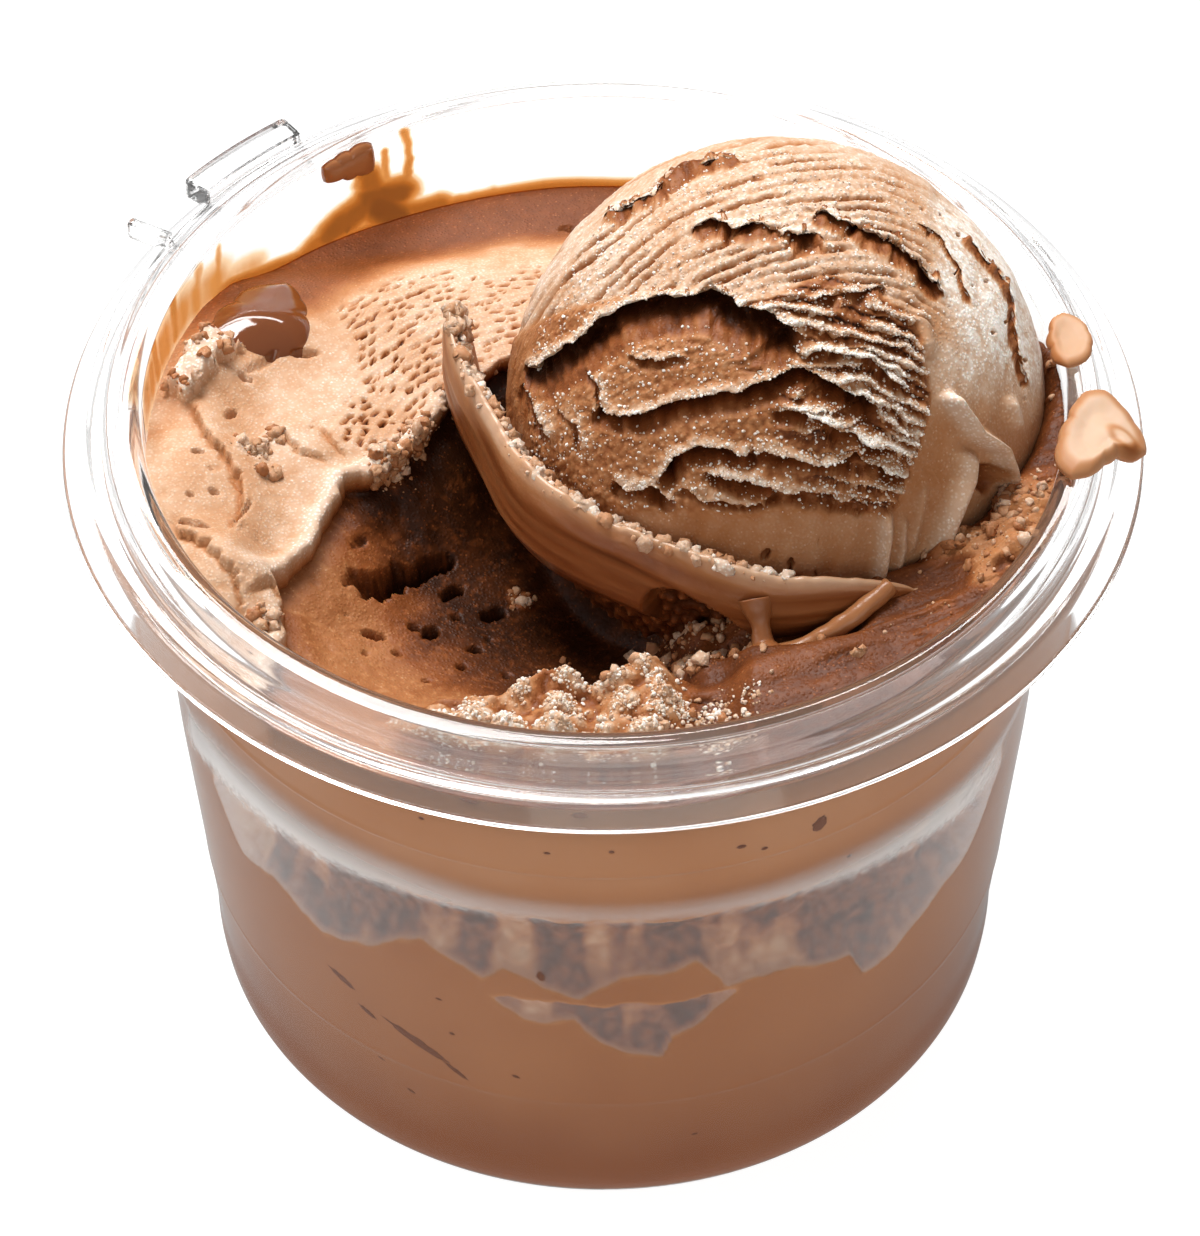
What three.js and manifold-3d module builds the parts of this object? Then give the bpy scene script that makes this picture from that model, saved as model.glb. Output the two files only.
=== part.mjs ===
// A clear round ice cream cup, filled with chocolate ice cream that has been scooped.
// Millimetres, +Z up. The origin is the middle of the underside of the cup.
import * as THREE from 'three';
import { mergeVertices } from 'three/addons/utils/BufferGeometryUtils.js';
import Module from 'manifold-3d';

const wasm = await Module();
wasm.setup();

// ---- driving dimensions ----
const RIM_RADIUS = 59;
const LIP_HEIGHT = 85.4;
const WALL = 1;
const FLOOR = 1.2;
const GAP = 0.3;
const CUP_SIDES = 56;

const SCOOP = { x: 19.3, y: 5.8, z: 76.3, radius: 30.3 };
const SCOOP_SEAT = 70;
const SCOOP_TILT = THREE.MathUtils.degToRad(46.4);

const PLATEAU = 75.5;
const TROUGH = { x: 0.7, y: -12.6, z: 60 };
const BULK = 78.2;
const SEED = 11;

// ---- small tools ----
const deg = THREE.MathUtils.degToRad;
const mix = THREE.MathUtils.lerp;
const clamp = THREE.MathUtils.clamp;

function ease(from, to, value) {
  const t = clamp((value - from) / (to - from), 0, 1);
  return t * t * (3 - 2 * t);
}

function mound(x, y, [cx, cy, rx, ry, height]) {
  return height * Math.exp(-(((x - cx) / rx) ** 2) - ((y - cy) / ry) ** 2);
}

function randomSource(seed) {
  let state = seed;
  return () => {
    state = (state + 0x6d2b79f5) | 0;
    let t = Math.imul(state ^ (state >>> 15), 1 | state);
    t = (t + Math.imul(t ^ (t >>> 7), 61 | t)) ^ t;
    return ((t ^ (t >>> 14)) >>> 0) / 4294967296;
  };
}

function toSolid(geometry) {
  const bare = geometry.clone();
  bare.deleteAttribute('normal');
  bare.deleteAttribute('uv');
  const merged = mergeVertices(bare, 1e-4);
  const vertProperties = Float32Array.from(merged.attributes.position.array);
  const triVerts = Uint32Array.from(merged.index.array);
  return new wasm.Manifold(new wasm.Mesh({ numProp: 3, vertProperties, triVerts }));
}

function toGeometry(solid) {
  const mesh = solid.getMesh();
  const geometry = new THREE.BufferGeometry();
  geometry.setAttribute('position', new THREE.BufferAttribute(mesh.vertProperties, 3));
  geometry.setIndex(new THREE.BufferAttribute(mesh.triVerts, 1));
  geometry.computeVertexNormals();
  return geometry;
}

// A closed skin over a run of rings with equal point counts, with a fan over each end.
function skin(rings, firstTip, lastTip) {
  const sides = rings[0].length;
  const positions = rings.flat().concat([firstTip, lastTip]).flatMap((p) => [p.x, p.y, p.z]);
  const faces = [];
  const first = rings.length * sides;
  const lastRing = (rings.length - 1) * sides;
  for (let side = 0; side < sides; side += 1) {
    const next = (side + 1) % sides;
    for (let ring = 0; ring + 1 < rings.length; ring += 1) {
      const here = ring * sides;
      const there = here + sides;
      faces.push(here + side, there + side, there + next);
      faces.push(here + side, there + next, here + next);
    }
    faces.push(first, side, next);
    faces.push(first + 1, lastRing + next, lastRing + side);
  }
  const geometry = new THREE.BufferGeometry();
  geometry.setAttribute('position', new THREE.Float32BufferAttribute(positions, 3));
  geometry.setIndex(faces);
  geometry.computeVertexNormals();
  return geometry;
}

function largest(solid) {
  return solid.decompose().reduce((best, piece) => (piece.volume() > best.volume() ? piece : best));
}

function middle(points) {
  const sum = new THREE.Vector3();
  points.forEach((p) => sum.add(p));
  return sum.divideScalar(points.length);
}

function named(name, geometry, material) {
  const mesh = new THREE.Mesh(geometry, material);
  mesh.name = name;
  return mesh;
}

// ---- clear cup: thin wall with a stacking shoulder, two-step rim, drip skirt ----
// Outer radius at each height, from the foot to just under the rim.
const OUTSIDE = [
  [43.2, 0],
  [45.3, 0.7],
  [46.3, 2.6],
  [46.6, 5.5],
  [46.5, 9],
  [47.3, 19],
  [47.55, 20.2],
  [48.95, 42],
  [49.35, 52.5],
  [50.0, 55.5],
  [50.3, 62],
  [50.55, 63],
  [51.0, 76],
];

const INSIDE = [
  [50.05, 84.2],
  [50.0, 76],
  [49.5, 63],
  [49.25, 62],
  [49.0, 56],
  [48.35, 53],
  [47.95, 42],
  [46.5, 20],
  [46.25, 19],
  [45.4, 9],
  [45.3, 5.5],
  [44.9, 3.2],
  [43.2, FLOOR],
];

function rimSection() {
  const crown = LIP_HEIGHT;
  return [
    [51.15, 83],
    [52.2, crown - WALL - 0.2],
    [53.1, 83],
    [53.4, 81],
    [54.4, 80.2],
    [56.4, 80.4],
    [58.1, 78.9],
    [RIM_RADIUS, 78.9],
    [RIM_RADIUS, 79.5],
    [57.3, 81.4],
    [56.3, 82.2],
    [55.3, 81.3],
    [54.6, 81.5],
    [54.4, 83.6],
    [53.2, crown - 0.3],
    [51.6, crown],
    [50.6, crown - 0.35],
  ];
}

function insideRadius(z) {
  for (let i = 0; i + 1 < INSIDE.length; i += 1) {
    const [upperRadius, upper] = INSIDE[i];
    const [lowerRadius, lower] = INSIDE[i + 1];
    if (z >= lower) {
      return mix(lowerRadius, upperRadius, clamp((z - lower) / (upper - lower), 0, 1));
    }
  }
  return INSIDE[INSIDE.length - 1][0];
}

// The opening tab on the rim: a low block and one thin finger beside it.
const TAB = { from: 128, to: 143, inner: 56, outer: 60, low: 80.6, high: 83.6, steps: 6 };
const FINGER = { at: 151, inner: 55.5, outer: 61.4, width: 1.5, low: 80.6, high: 83.2 };

function tabBlock() {
  const shape = new THREE.Shape();
  shape.absarc(0, 0, TAB.outer, deg(TAB.from), deg(TAB.to), false);
  shape.absarc(0, 0, TAB.inner, deg(TAB.to), deg(TAB.from), true);
  shape.closePath();
  const height = TAB.high - TAB.low;
  const settings = { depth: height, bevelEnabled: false, curveSegments: TAB.steps };
  return new THREE.ExtrudeGeometry(shape, settings).translate(0, 0, TAB.low);
}

function tabFinger() {
  const length = FINGER.outer - FINGER.inner;
  const height = FINGER.high - FINGER.low;
  const box = new THREE.BoxGeometry(length, FINGER.width, height);
  box.translate((FINGER.inner + FINGER.outer) / 2, 0, (FINGER.low + FINGER.high) / 2);
  return box.rotateZ(deg(FINGER.at));
}

function cupGeometry() {
  const section = [[0, 0], ...OUTSIDE, ...rimSection(), ...INSIDE, [0, FLOOR]];
  const profile = section.map(([radius, z]) => new THREE.Vector2(radius, z));
  const shell = new THREE.LatheGeometry(profile, CUP_SIDES).rotateX(Math.PI / 2);
  return toGeometry(toSolid(shell).add(toSolid(tabBlock())).add(toSolid(tabFinger())));
}

// ---- ice cream in the cup ----
// The torn edge between the untouched plateau and the scooped trough, from back to front.
const LEDGE = [
  [-4, 20],
  [-12, 14],
  [-17, 8],
  [-21.5, -1],
  [-28, -5],
  [-30.5, -14],
  [-35, -21],
  [-33.5, -29],
  [-34, -40],
];

// Smeared lumps along the left wall: x, y, spread across, spread along, height.
const LUMPS = [
  [-44, 10, 4, 5, 3.2],
  [-45, -7, 6, 9, 2],
  [-40, -20, 4, 6, 2.6],
  [-38, 18, 6, 4, 1.6],
  [-33, 0, 5, 7, 1],
];

function pastLedge(x, y) {
  let nearest = Infinity;
  let side = 1;
  for (let i = 0; i + 1 < LEDGE.length; i += 1) {
    const [ax, ay] = LEDGE[i];
    const dx = LEDGE[i + 1][0] - ax;
    const dy = LEDGE[i + 1][1] - ay;
    const along = clamp(((x - ax) * dx + (y - ay) * dy) / (dx * dx + dy * dy), 0, 1);
    const distance = Math.hypot(x - ax - along * dx, y - ay - along * dy);
    if (distance < nearest) {
      nearest = distance;
      side = Math.sign(dx * (y - ay) - dy * (x - ax)) || 1;
    }
  }
  return nearest * side;
}

function plateauHeight(x, y) {
  const back = ease(20, 48, y);
  const left = ease(-30, -48, x) * (1 - back);
  const ripples = 0.35 * Math.sin(0.9 * x + 0.5 * y);
  const lumps = LUMPS.reduce((sum, lump) => sum + mound(x, y, lump), 0);
  return PLATEAU - 5 * back + 1.6 * left + ripples + lumps;
}

function troughHeight(x, y) {
  const away = Math.hypot(x - TROUGH.x, y - TROUGH.y);
  const front = 3.5 * ease(-26, -42, y);
  return TROUGH.z + 0.36 * away - 0.002 * away * away + front;
}

// Past the ledge the ice cream drops by its torn edge, then falls in a bowl to the trough floor.
const LEDGE_DROP = 2.3;
const BOWL_REACH = 11;

function scoopedHeight(x, y, past) {
  const left = 1 - clamp(past / BOWL_REACH, 0, 1);
  const edge = plateauHeight(x, y) - LEDGE_DROP;
  return mix(edge, troughHeight(x, y), 1 - left * left);
}

function heapHeight(x, y) {
  return 77.4 + 0.7 * Math.sin(1.1 * x) + 0.8 * Math.cos(0.8 * x + 0.9 * y);
}

function bulkHeight(x, y) {
  const rise = 0.09 * Math.max(0, x - 15);
  const wall = 1.8 * ease(40, 49, Math.hypot(x, y)) * ease(30, 44, x);
  return BULK + rise + wall + 0.7 * Math.sin(0.45 * x - 0.6 * y);
}

function fillHeight(x, y) {
  const fromScoop = Math.hypot(x - SCOOP.x, y - SCOOP.y);
  const past = pastLedge(x, y);
  let z = mix(plateauHeight(x, y), scoopedHeight(x, y, past), ease(-1, 1.5, past));
  const heap = ease(-32.5, -37.5, y) * ease(-25, -16, x);
  z = mix(z, heapHeight(x, y), heap);
  const bulk = ease(8, 17, x) * ease(26, 6, y) * ease(25, 31, fromScoop);
  z = mix(z, bulkHeight(x, y), bulk);
  return mix(z, SCOOP_SEAT, ease(29, 23, fromScoop));
}

// Air left against the clear wall: from, to in degrees, bottom, top, sag of the bottom, depth.
const POCKETS = [
  { from: 212, to: 330, low: 40.5, high: 53.5, ragged: 2.2, depth: 4.5 },
  { from: 258, to: 286, low: 31, high: 37, ragged: 1.5, depth: 3.5 },
];

function pocketDepth(angle, z) {
  const azimuth = THREE.MathUtils.euclideanModulo(THREE.MathUtils.radToDeg(angle), 360);
  let depth = 0;
  POCKETS.forEach((pocket) => {
    const ends = ease(pocket.from, pocket.from + 8, azimuth) * ease(pocket.to, pocket.to - 8, azimuth);
    const bottom = pocket.low + pocket.ragged * Math.sin(deg(azimuth * 9));
    const level = ease(bottom - 0.5, bottom + 1.5, z) * ease(pocket.high + 0.5, pocket.high - 1.5, z);
    depth = Math.max(depth, pocket.depth * ends * level);
  });
  return depth;
}

const FILL_SIDES = 60;
const FILL_RINGS = 15;
const FILL_LEVELS = [63, 54.4, 51.5, 46, 42.5, 39.5, 36, 31, 20, 9, 3.5];
const FILL_BOTTOM = FLOOR + GAP;

function wallPoint(angle, z) {
  const radius = insideRadius(z) - GAP - pocketDepth(angle, z);
  return new THREE.Vector3(radius * Math.cos(angle), radius * Math.sin(angle), z);
}

function edgePoint(angle) {
  const probe = 48.5;
  const z = fillHeight(probe * Math.cos(angle), probe * Math.sin(angle));
  return wallPoint(angle, z);
}

function topPoint(angle, share) {
  const radius = share * (insideRadius(PLATEAU) - GAP);
  const x = radius * Math.cos(angle);
  const y = radius * Math.sin(angle);
  return new THREE.Vector3(x, y, fillHeight(x, y));
}

function fillAngles() {
  return Array.from({ length: FILL_SIDES }, (_, side) => (2 * Math.PI * side) / FILL_SIDES);
}

// Crumbs of torn ice cream, seeded, lying on the front heap, the ledge and the left wall.
const CRUMB_BEDS = [
  { x: -1, y: -39.5, alongX: 15, alongY: 3.2, count: 20 },
  { x: -24.5, y: -3, alongX: 3.5, alongY: 3.5, count: 5 },
  { x: -33, y: 1, alongX: 3, alongY: 2, count: 3 },
  { x: -38, y: -26, alongX: 2.5, alongY: 3, count: 4 },
  { x: 38, y: -23, alongX: 4, alongY: 4, count: 4 },
];

function crumbs() {
  const random = randomSource(SEED);
  const solids = [];
  CRUMB_BEDS.forEach((bed) => {
    for (let i = 0; i < bed.count; i += 1) {
      const x = bed.x + bed.alongX * (2 * random() - 1);
      const y = bed.y + bed.alongY * (2 * random() - 1);
      const radius = 0.9 + 1.1 * random();
      const grain = new THREE.IcosahedronGeometry(radius, 0);
      grain.scale(1, 0.75 + 0.3 * random(), 0.8);
      grain.rotateX(6 * random());
      grain.rotateZ(6 * random());
      const reach = Math.hypot(x, y) + radius;
      const inward = Math.min(1, (insideRadius(BULK) - GAP) / reach);
      grain.translate(x * inward, y * inward, fillHeight(x, y) + 0.35 * radius);
      solids.push(toSolid(grain));
    }
  });
  return solids;
}

function fillSolid() {
  const angles = fillAngles();
  const rings = [];
  for (let ring = 1; ring < FILL_RINGS; ring += 1) {
    rings.push(angles.map((angle) => topPoint(angle, ring / FILL_RINGS)));
  }
  rings.push(angles.map(edgePoint));
  FILL_LEVELS.forEach((z) => rings.push(angles.map((angle) => wallPoint(angle, z))));
  const foot = insideRadius(FLOOR + 1) - 2 * GAP - 1;
  [1, 0.5].forEach((share) => {
    rings.push(angles.map((angle) => new THREE.Vector3(
      share * foot * Math.cos(angle),
      share * foot * Math.sin(angle),
      FILL_BOTTOM,
    )));
  });
  const top = new THREE.Vector3(0, 0, fillHeight(0, 0));
  const bottom = new THREE.Vector3(0, 0, FILL_BOTTOM);
  return toSolid(skin(rings, top, bottom));
}

// ---- scoop: a rolled ball with torn layers, wrapped at its left and front by a thick lip ----
// Right and up across the face that the scoop was turned over, from the ball's middle.
function faceAxes() {
  const right = new THREE.Vector3(1, 0, 0);
  const up = new THREE.Vector3(0, Math.sin(SCOOP_TILT), Math.cos(SCOOP_TILT));
  const out = new THREE.Vector3(0, -Math.cos(SCOOP_TILT), Math.sin(SCOOP_TILT));
  return { right, up, out };
}

// Deep tears across that face: start and end in mm right and up, sag, width, depth.
const TEARS = [
  { from: [-30, 7], to: [8, 10], sag: 4, width: 2.6, depth: 4.5 },
  { from: [-6, 20], to: [14, 16], sag: 3, width: 1.9, depth: 3 },
  { from: [-18, -1], to: [15, 2], sag: 3, width: 1.8, depth: 2.6 },
  { from: [-15, -8], to: [14, -7], sag: 1.5, width: 1.8, depth: 2.4 },
];

function tearDepth(right, up) {
  let depth = 0;
  TEARS.forEach(({ from, to, sag, width, depth: deepest }) => {
    const share = (right - from[0]) / (to[0] - from[0]);
    const inside = ease(-0.04, 0.12, share) * ease(1.04, 0.88, share);
    const line = mix(from[1], to[1], share) + sag * Math.sin(Math.PI * clamp(share, 0, 1));
    depth = Math.max(depth, deepest * inside * Math.exp(-(((up - line) / width) ** 2)));
  });
  return depth;
}

const RIDGE = 0.35;
const BALL_DETAIL = 10;
const SEAT_DETAIL = 7;

function scoopBall() {
  const { right, up, out } = faceAxes();
  const ball = new THREE.IcosahedronGeometry(1, BALL_DETAIL);
  const position = ball.attributes.position;
  const way = new THREE.Vector3();
  for (let i = 0; i < position.count; i += 1) {
    way.fromBufferAttribute(position, i).normalize();
    const across = way.dot(right) * SCOOP.radius;
    const along = way.dot(up) * SCOOP.radius;
    const front = ease(0.05, 0.4, way.dot(out));
    const ridges = RIDGE * Math.sin(1.3 * along + 0.02 * across * across);
    const radius = SCOOP.radius - front * tearDepth(across, along) + ridges;
    way.multiplyScalar(radius).add(new THREE.Vector3(SCOOP.x, SCOOP.y, SCOOP.z));
    const limit = insideRadius(Math.min(way.z, LIP_HEIGHT)) - 2 * GAP;
    const reach = Math.hypot(way.x, way.y);
    if (reach > limit) {
      way.x *= limit / reach;
      way.y *= limit / reach;
    }
    position.setXYZ(i, way.x, way.y, way.z);
  }
  return toSolid(ball);
}

// The seat that the ball presses into the ice cream below it, a gap larger all round.
function scoopSeat() {
  const seat = new THREE.IcosahedronGeometry(SCOOP.radius + RIDGE + GAP, SEAT_DETAIL);
  return toSolid(seat.translate(SCOOP.x, SCOOP.y, SCOOP.z));
}

// The lip runs round the ball's axis; its edge stands off the ball and rises at the left end.
const LIP = { from: 165, to: 294, steps: 24, radius: 35 };

function lipSection(angle, share, grow) {
  const ends = Math.sqrt(clamp(Math.min(share / 0.06, (1 - share) / 0.3), 0.02, 1));
  const lift = 3.2 * ease(0.35, 0, share) + 2.4 * ease(0.75, 1, share);
  const flare = 2 * ease(0.3, 0, share) - 1.2 * ease(0.2, 0.5, share) + 1.6 * ease(0.7, 0.95, share);
  const wave = 0.5 * Math.sin(19 * share);
  const reach = LIP.radius + flare + wave;
  const section = [
    [reach - 3.6, 5],
    [reach - 5, 2],
    [reach - 7, 0],
    [reach - 9, -4],
    [reach - 8, -9],
    [reach - 4.6, -7],
    [reach - 1.6, -4],
    [reach - 0.1, -1],
    [reach, 2.5],
    [reach - 0.4, 6],
    [reach - 1.3, 7.9],
    [reach - 2.2, 7.8],
  ];
  const core = reach - 4;
  return section.map(([radius, height]) => {
    const outward = grow / Math.hypot(radius - core, height);
    const r = core + (radius - core) * (ends + outward);
    const z = SCOOP.z + lift + height * (ends + outward);
    return new THREE.Vector3(SCOOP.x + r * Math.cos(angle), SCOOP.y + r * Math.sin(angle), z);
  });
}

function scoopLip(grow) {
  const rings = [];
  for (let step = 0; step <= LIP.steps; step += 1) {
    const share = step / LIP.steps;
    rings.push(lipSection(deg(mix(LIP.from, LIP.to, share)), share, grow));
  }
  return toSolid(skin(rings, middle(rings[0]), middle(rings[rings.length - 1])));
}

// ---- drip hanging over the rim, and a dab on the lip beside the scoop ----
const DRIP = { azimuth: -9, sides: 12 };

// Middle of the drip across the rim: distance from the cup's axis, height, half width, half depth.
const DRIP_RUN = [
  [48.9, 84.7, 1.2, 0.4],
  [49.9, 86.1, 3.2, 0.6],
  [51.6, 87.1, 4.4, 1.1],
  [53.4, 87.0, 4.3, 1.2],
  [55.0, 86.0, 3.4, 1.3],
  [56.6, 85.0, 2.6, 1.4],
  [57.8, 84.3, 1.8, 1.2],
  [58.5, 84.0, 0.8, 0.6],
];

function dripGeometry() {
  const rings = DRIP_RUN.map(([radius, height, halfWidth, halfDepth]) => {
    const ring = [];
    for (let side = 0; side < DRIP.sides; side += 1) {
      const turn = (-2 * Math.PI * side) / DRIP.sides;
      const across = halfWidth * Math.cos(turn);
      ring.push(new THREE.Vector3(radius, across, height + halfDepth * Math.sin(turn)));
    }
    return ring;
  });
  const geometry = skin(rings, middle(rings[0]), middle(rings[rings.length - 1]));
  return geometry.rotateZ(deg(DRIP.azimuth));
}

const DAB = { azimuth: 10.5, radius: 51.6, height: 86.25, across: 3, wide: 1.3, deep: 0.5 };

function dabGeometry() {
  const dab = new THREE.SphereGeometry(1, 14, 8).scale(DAB.wide, DAB.across, DAB.deep);
  return dab.translate(DAB.radius, 0, DAB.height).rotateZ(deg(DAB.azimuth));
}

// ---- the object ----
function clearPlastic() {
  return new THREE.MeshStandardMaterial({
    color: 0xf3f4f4,
    roughness: 0.08,
    metalness: 0,
    transparent: true,
    opacity: 0.35,
  });
}

function iceCream(color, roughness) {
  return new THREE.MeshStandardMaterial({ color, roughness, metalness: 0 });
}

function build() {
  const cup = new THREE.Group();
  const heaped = crumbs().reduce((sum, grain) => sum.add(grain), fillSolid());
  const fill = heaped.subtract(scoopSeat().add(scoopLip(GAP)));
  const scoop = scoopBall().add(scoopLip(0));
  cup.add(named('cup', cupGeometry(), clearPlastic()));
  cup.add(named('ice_cream_fill', toGeometry(largest(fill)), iceCream(0xa8744f, 0.6)));
  cup.add(named('ice_cream_scoop', toGeometry(scoop), iceCream(0xb98660, 0.55)));
  cup.add(named('rim_drip', dripGeometry(), iceCream(0xc79a75, 0.3)));
  cup.add(named('rim_dab', dabGeometry(), iceCream(0xc79a75, 0.3)));
  return cup;
}

export default build();
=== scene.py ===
import math

import bpy
import numpy as np
from mathutils import Euler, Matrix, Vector


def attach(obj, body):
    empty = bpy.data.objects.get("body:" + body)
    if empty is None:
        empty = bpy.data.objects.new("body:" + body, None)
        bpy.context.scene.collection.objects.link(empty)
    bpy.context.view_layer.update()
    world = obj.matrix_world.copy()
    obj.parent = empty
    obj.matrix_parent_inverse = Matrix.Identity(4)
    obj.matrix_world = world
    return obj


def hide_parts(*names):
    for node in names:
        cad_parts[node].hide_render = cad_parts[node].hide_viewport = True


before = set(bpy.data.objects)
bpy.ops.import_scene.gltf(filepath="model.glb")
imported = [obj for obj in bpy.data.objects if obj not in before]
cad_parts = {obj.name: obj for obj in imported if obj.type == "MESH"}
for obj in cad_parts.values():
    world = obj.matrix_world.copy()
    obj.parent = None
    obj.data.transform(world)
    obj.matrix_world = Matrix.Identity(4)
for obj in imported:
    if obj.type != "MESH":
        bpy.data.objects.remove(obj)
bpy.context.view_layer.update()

# ---------------------------------------------------------------- table, camera and light
# The cup stands on a plain white table. A broad soft light hangs above and behind it, so that
# every ridge is bright on top and dark in front, and weak light from the front opens the shade.
MM = 0.001
CAMERA_LENS = 134.0
CAMERA_SENSOR = 36.0
CAMERA_PLACE = (-0.00037, -0.36256, 0.42929)
CAMERA_PITCH = 46.394
CAMERA_ROLL = -0.109
TABLE_SIZE = 6.0
TABLE_WHITE = (0.2, 0.2, 0.2, 1.0)
TABLE_ROUGHNESS = 0.9
TABLE_GLOW = 4.7
TABLE_MIRRORED = 0.22
SKY_WHITE = (1.0, 0.99, 0.98, 1.0)
SKY_LOW = 0.08
SKY_HIGH = 0.36
SKY_WHITE_FROM = 0.9
SKY_THROUGH_PLASTIC = 0.62
# Soft lights: name, place, what they aim at, size, watts and colour.
SOFT_LIGHTS = [
    ("key", (-0.16, 0.30, 0.74), (0.0, 0.0, 0.06), (0.34, 0.30), 6.4, (1.0, 0.995, 0.99)),
    ("strip", (0.0, 0.74, 0.86), (0.0, -0.05, 0.08), (1.0, 0.13), 6.5, (1.0, 1.0, 1.0)),
    ("side", (-0.65, -0.05, 0.35), (0.0, 0.0, 0.06), (0.5, 0.5), 0.9, (1.0, 1.0, 1.0)),
    ("front", (0.15, -0.85, 0.45), (0.0, 0.0, 0.05), (0.7, 0.5), 1.8, (1.0, 0.92, 0.82)),
]


def add_object(name, data):
    thing = bpy.data.objects.new(name, data)
    bpy.context.scene.collection.objects.link(thing)
    return thing


def feed(tree, node, inputs):
    """Gives each named input of a node its value, or links it to another node's output."""
    for name, value in dict(inputs).items():
        if isinstance(value, bpy.types.NodeSocket):
            tree.links.new(value, node.inputs[name])
        else:
            node.inputs[name].default_value = value


def wire(tree, kind, inputs=(), **settings):
    """A new node with its settings and its inputs."""
    node = tree.nodes.new(kind)
    for name, value in settings.items():
        setattr(node, name, value)
    feed(tree, node, inputs)
    return node


def maths(tree, operation, *values):
    return wire(tree, "ShaderNodeMath", enumerate(values), operation=operation).outputs[0]


def map_range(tree, value, low, high, start=0.0, stop=1.0):
    """Turns a value that runs from start to stop into one from low to high."""
    inputs = {"Value": value, "From Min": start, "From Max": stop, "To Min": low, "To Max": high}
    return wire(tree, "ShaderNodeMapRange", inputs).outputs["Result"]


def new_material(name):
    material = bpy.data.materials.new(name)
    material.use_nodes = True
    return material, material.node_tree, material.node_tree.nodes["Principled BSDF"]


def add_camera():
    lens = bpy.data.cameras.new("view")
    lens.lens = CAMERA_LENS
    lens.sensor_width = CAMERA_SENSOR
    lens.clip_start = 0.01
    camera = add_object("view", lens)
    camera.location = CAMERA_PLACE
    camera.rotation_euler = Euler((math.radians(90.0 - CAMERA_PITCH), 0.0, 0.0))
    camera.rotation_euler.rotate_axis("Z", math.radians(CAMERA_ROLL))
    bpy.context.scene.camera = camera


def add_soft_light(name, place, target, size, energy, colour):
    lamp = bpy.data.lights.new(name, "AREA")
    lamp.shape = "RECTANGLE"
    lamp.size, lamp.size_y = size
    lamp.energy = energy
    lamp.color = colour
    light = add_object(name, lamp)
    light.location = place
    aim = Vector(target) - Vector(place)
    light.rotation_euler = aim.to_track_quat("-Z", "Y").to_euler()


def add_table():
    half = TABLE_SIZE / 2
    mesh = bpy.data.meshes.new("table")
    corners = [(-half, -half, 0), (half, -half, 0), (half, half, 0), (-half, half, 0)]
    mesh.from_pydata(corners, [], [(0, 1, 2, 3)])
    table = add_object("table", mesh)
    white, tree, shader = new_material("table_white")
    rays = wire(tree, "ShaderNodeLightPath").outputs
    mirrored = maths(tree, "SUBTRACT", rays["Is Glossy Ray"], rays["Is Transmission Ray"])
    inputs = {
        "Base Color": TABLE_WHITE,
        "Roughness": TABLE_ROUGHNESS,
        "Emission Color": TABLE_WHITE,
        "Emission Strength": map_range(tree, mirrored, TABLE_GLOW, TABLE_GLOW * TABLE_MIRRORED),
    }
    feed(tree, shader, inputs)
    mesh.materials.append(white)


def add_sky():
    """White overhead, greyer towards the horizon, so that clear plastic shows its edges."""
    sky = bpy.data.worlds.new("studio")
    bpy.context.scene.world = sky
    sky.use_nodes = True
    tree = sky.node_tree
    place = wire(tree, "ShaderNodeTexCoord").outputs["Generated"]
    split = wire(tree, "ShaderNodeSeparateXYZ", {"Vector": place})
    rise = map_range(tree, split.outputs["Z"], SKY_LOW, SKY_HIGH, 0.0, SKY_WHITE_FROM)
    through = wire(tree, "ShaderNodeLightPath").outputs["Is Transmission Ray"]
    strength = maths(tree, "MULTIPLY_ADD", through, SKY_THROUGH_PLASTIC, rise)
    feed(tree, tree.nodes["Background"], {"Color": SKY_WHITE, "Strength": strength})


add_camera()
add_table()
add_sky()
for soft_light in SOFT_LIGHTS:
    add_soft_light(*soft_light)
bpy.context.scene.view_settings.view_transform = "Standard"
bpy.context.scene.view_settings.look = "None"

# ---------------------------------------------------------------- clear cup
# A thin tub of clear polypropylene, drawn down from one sheet: a rounded foot, a stacking
# shoulder two thirds of the way up, a rolled lip, a lid bead and a flared drip skirt.
# One moulded tab and one finger on the rim are for lifting the lid.
FLOOR = 1.2
LIP_HEIGHT = 85.4
CUP_SIDES = 288
CORNER_STEPS = 4

FOOT_TO_RIM = [
    (43.2, 0.0, 0.0), (45.3, 0.7, 0.8), (46.3, 2.6, 0.8), (46.6, 5.5, 1.0), (46.5, 9.0, 2.0),
    (47.28, 19.0, 0.3), (47.44, 19.7, 0.25), (47.42, 20.3, 0.3), (48.95, 42.0, 3.0),
    (49.35, 52.5, 1.2), (50.0, 55.5, 1.2), (50.3, 61.8, 0.3), (50.62, 62.3, 0.25),
    (50.45, 62.9, 0.3), (51.0, 76.0, 2.0),
]
RIM = [
    (51.15, 83.0, 0.6), (52.2, 84.2, 0.5), (53.1, 83.0, 0.6), (53.4, 81.0, 0.5), (54.4, 80.2, 0.4),
    (56.4, 80.4, 0.5), (58.1, 78.9, 0.2), (59.0, 78.9, 0.3), (59.0, 79.5, 0.3), (57.3, 81.4, 0.5),
    (56.3, 82.2, 0.7), (55.3, 81.3, 0.3), (54.6, 81.5, 0.3), (54.4, 83.6, 0.5), (53.2, 85.1, 0.4),
    (51.6, 85.4, 0.7), (50.6, 85.05, 0.5),
]
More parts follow.
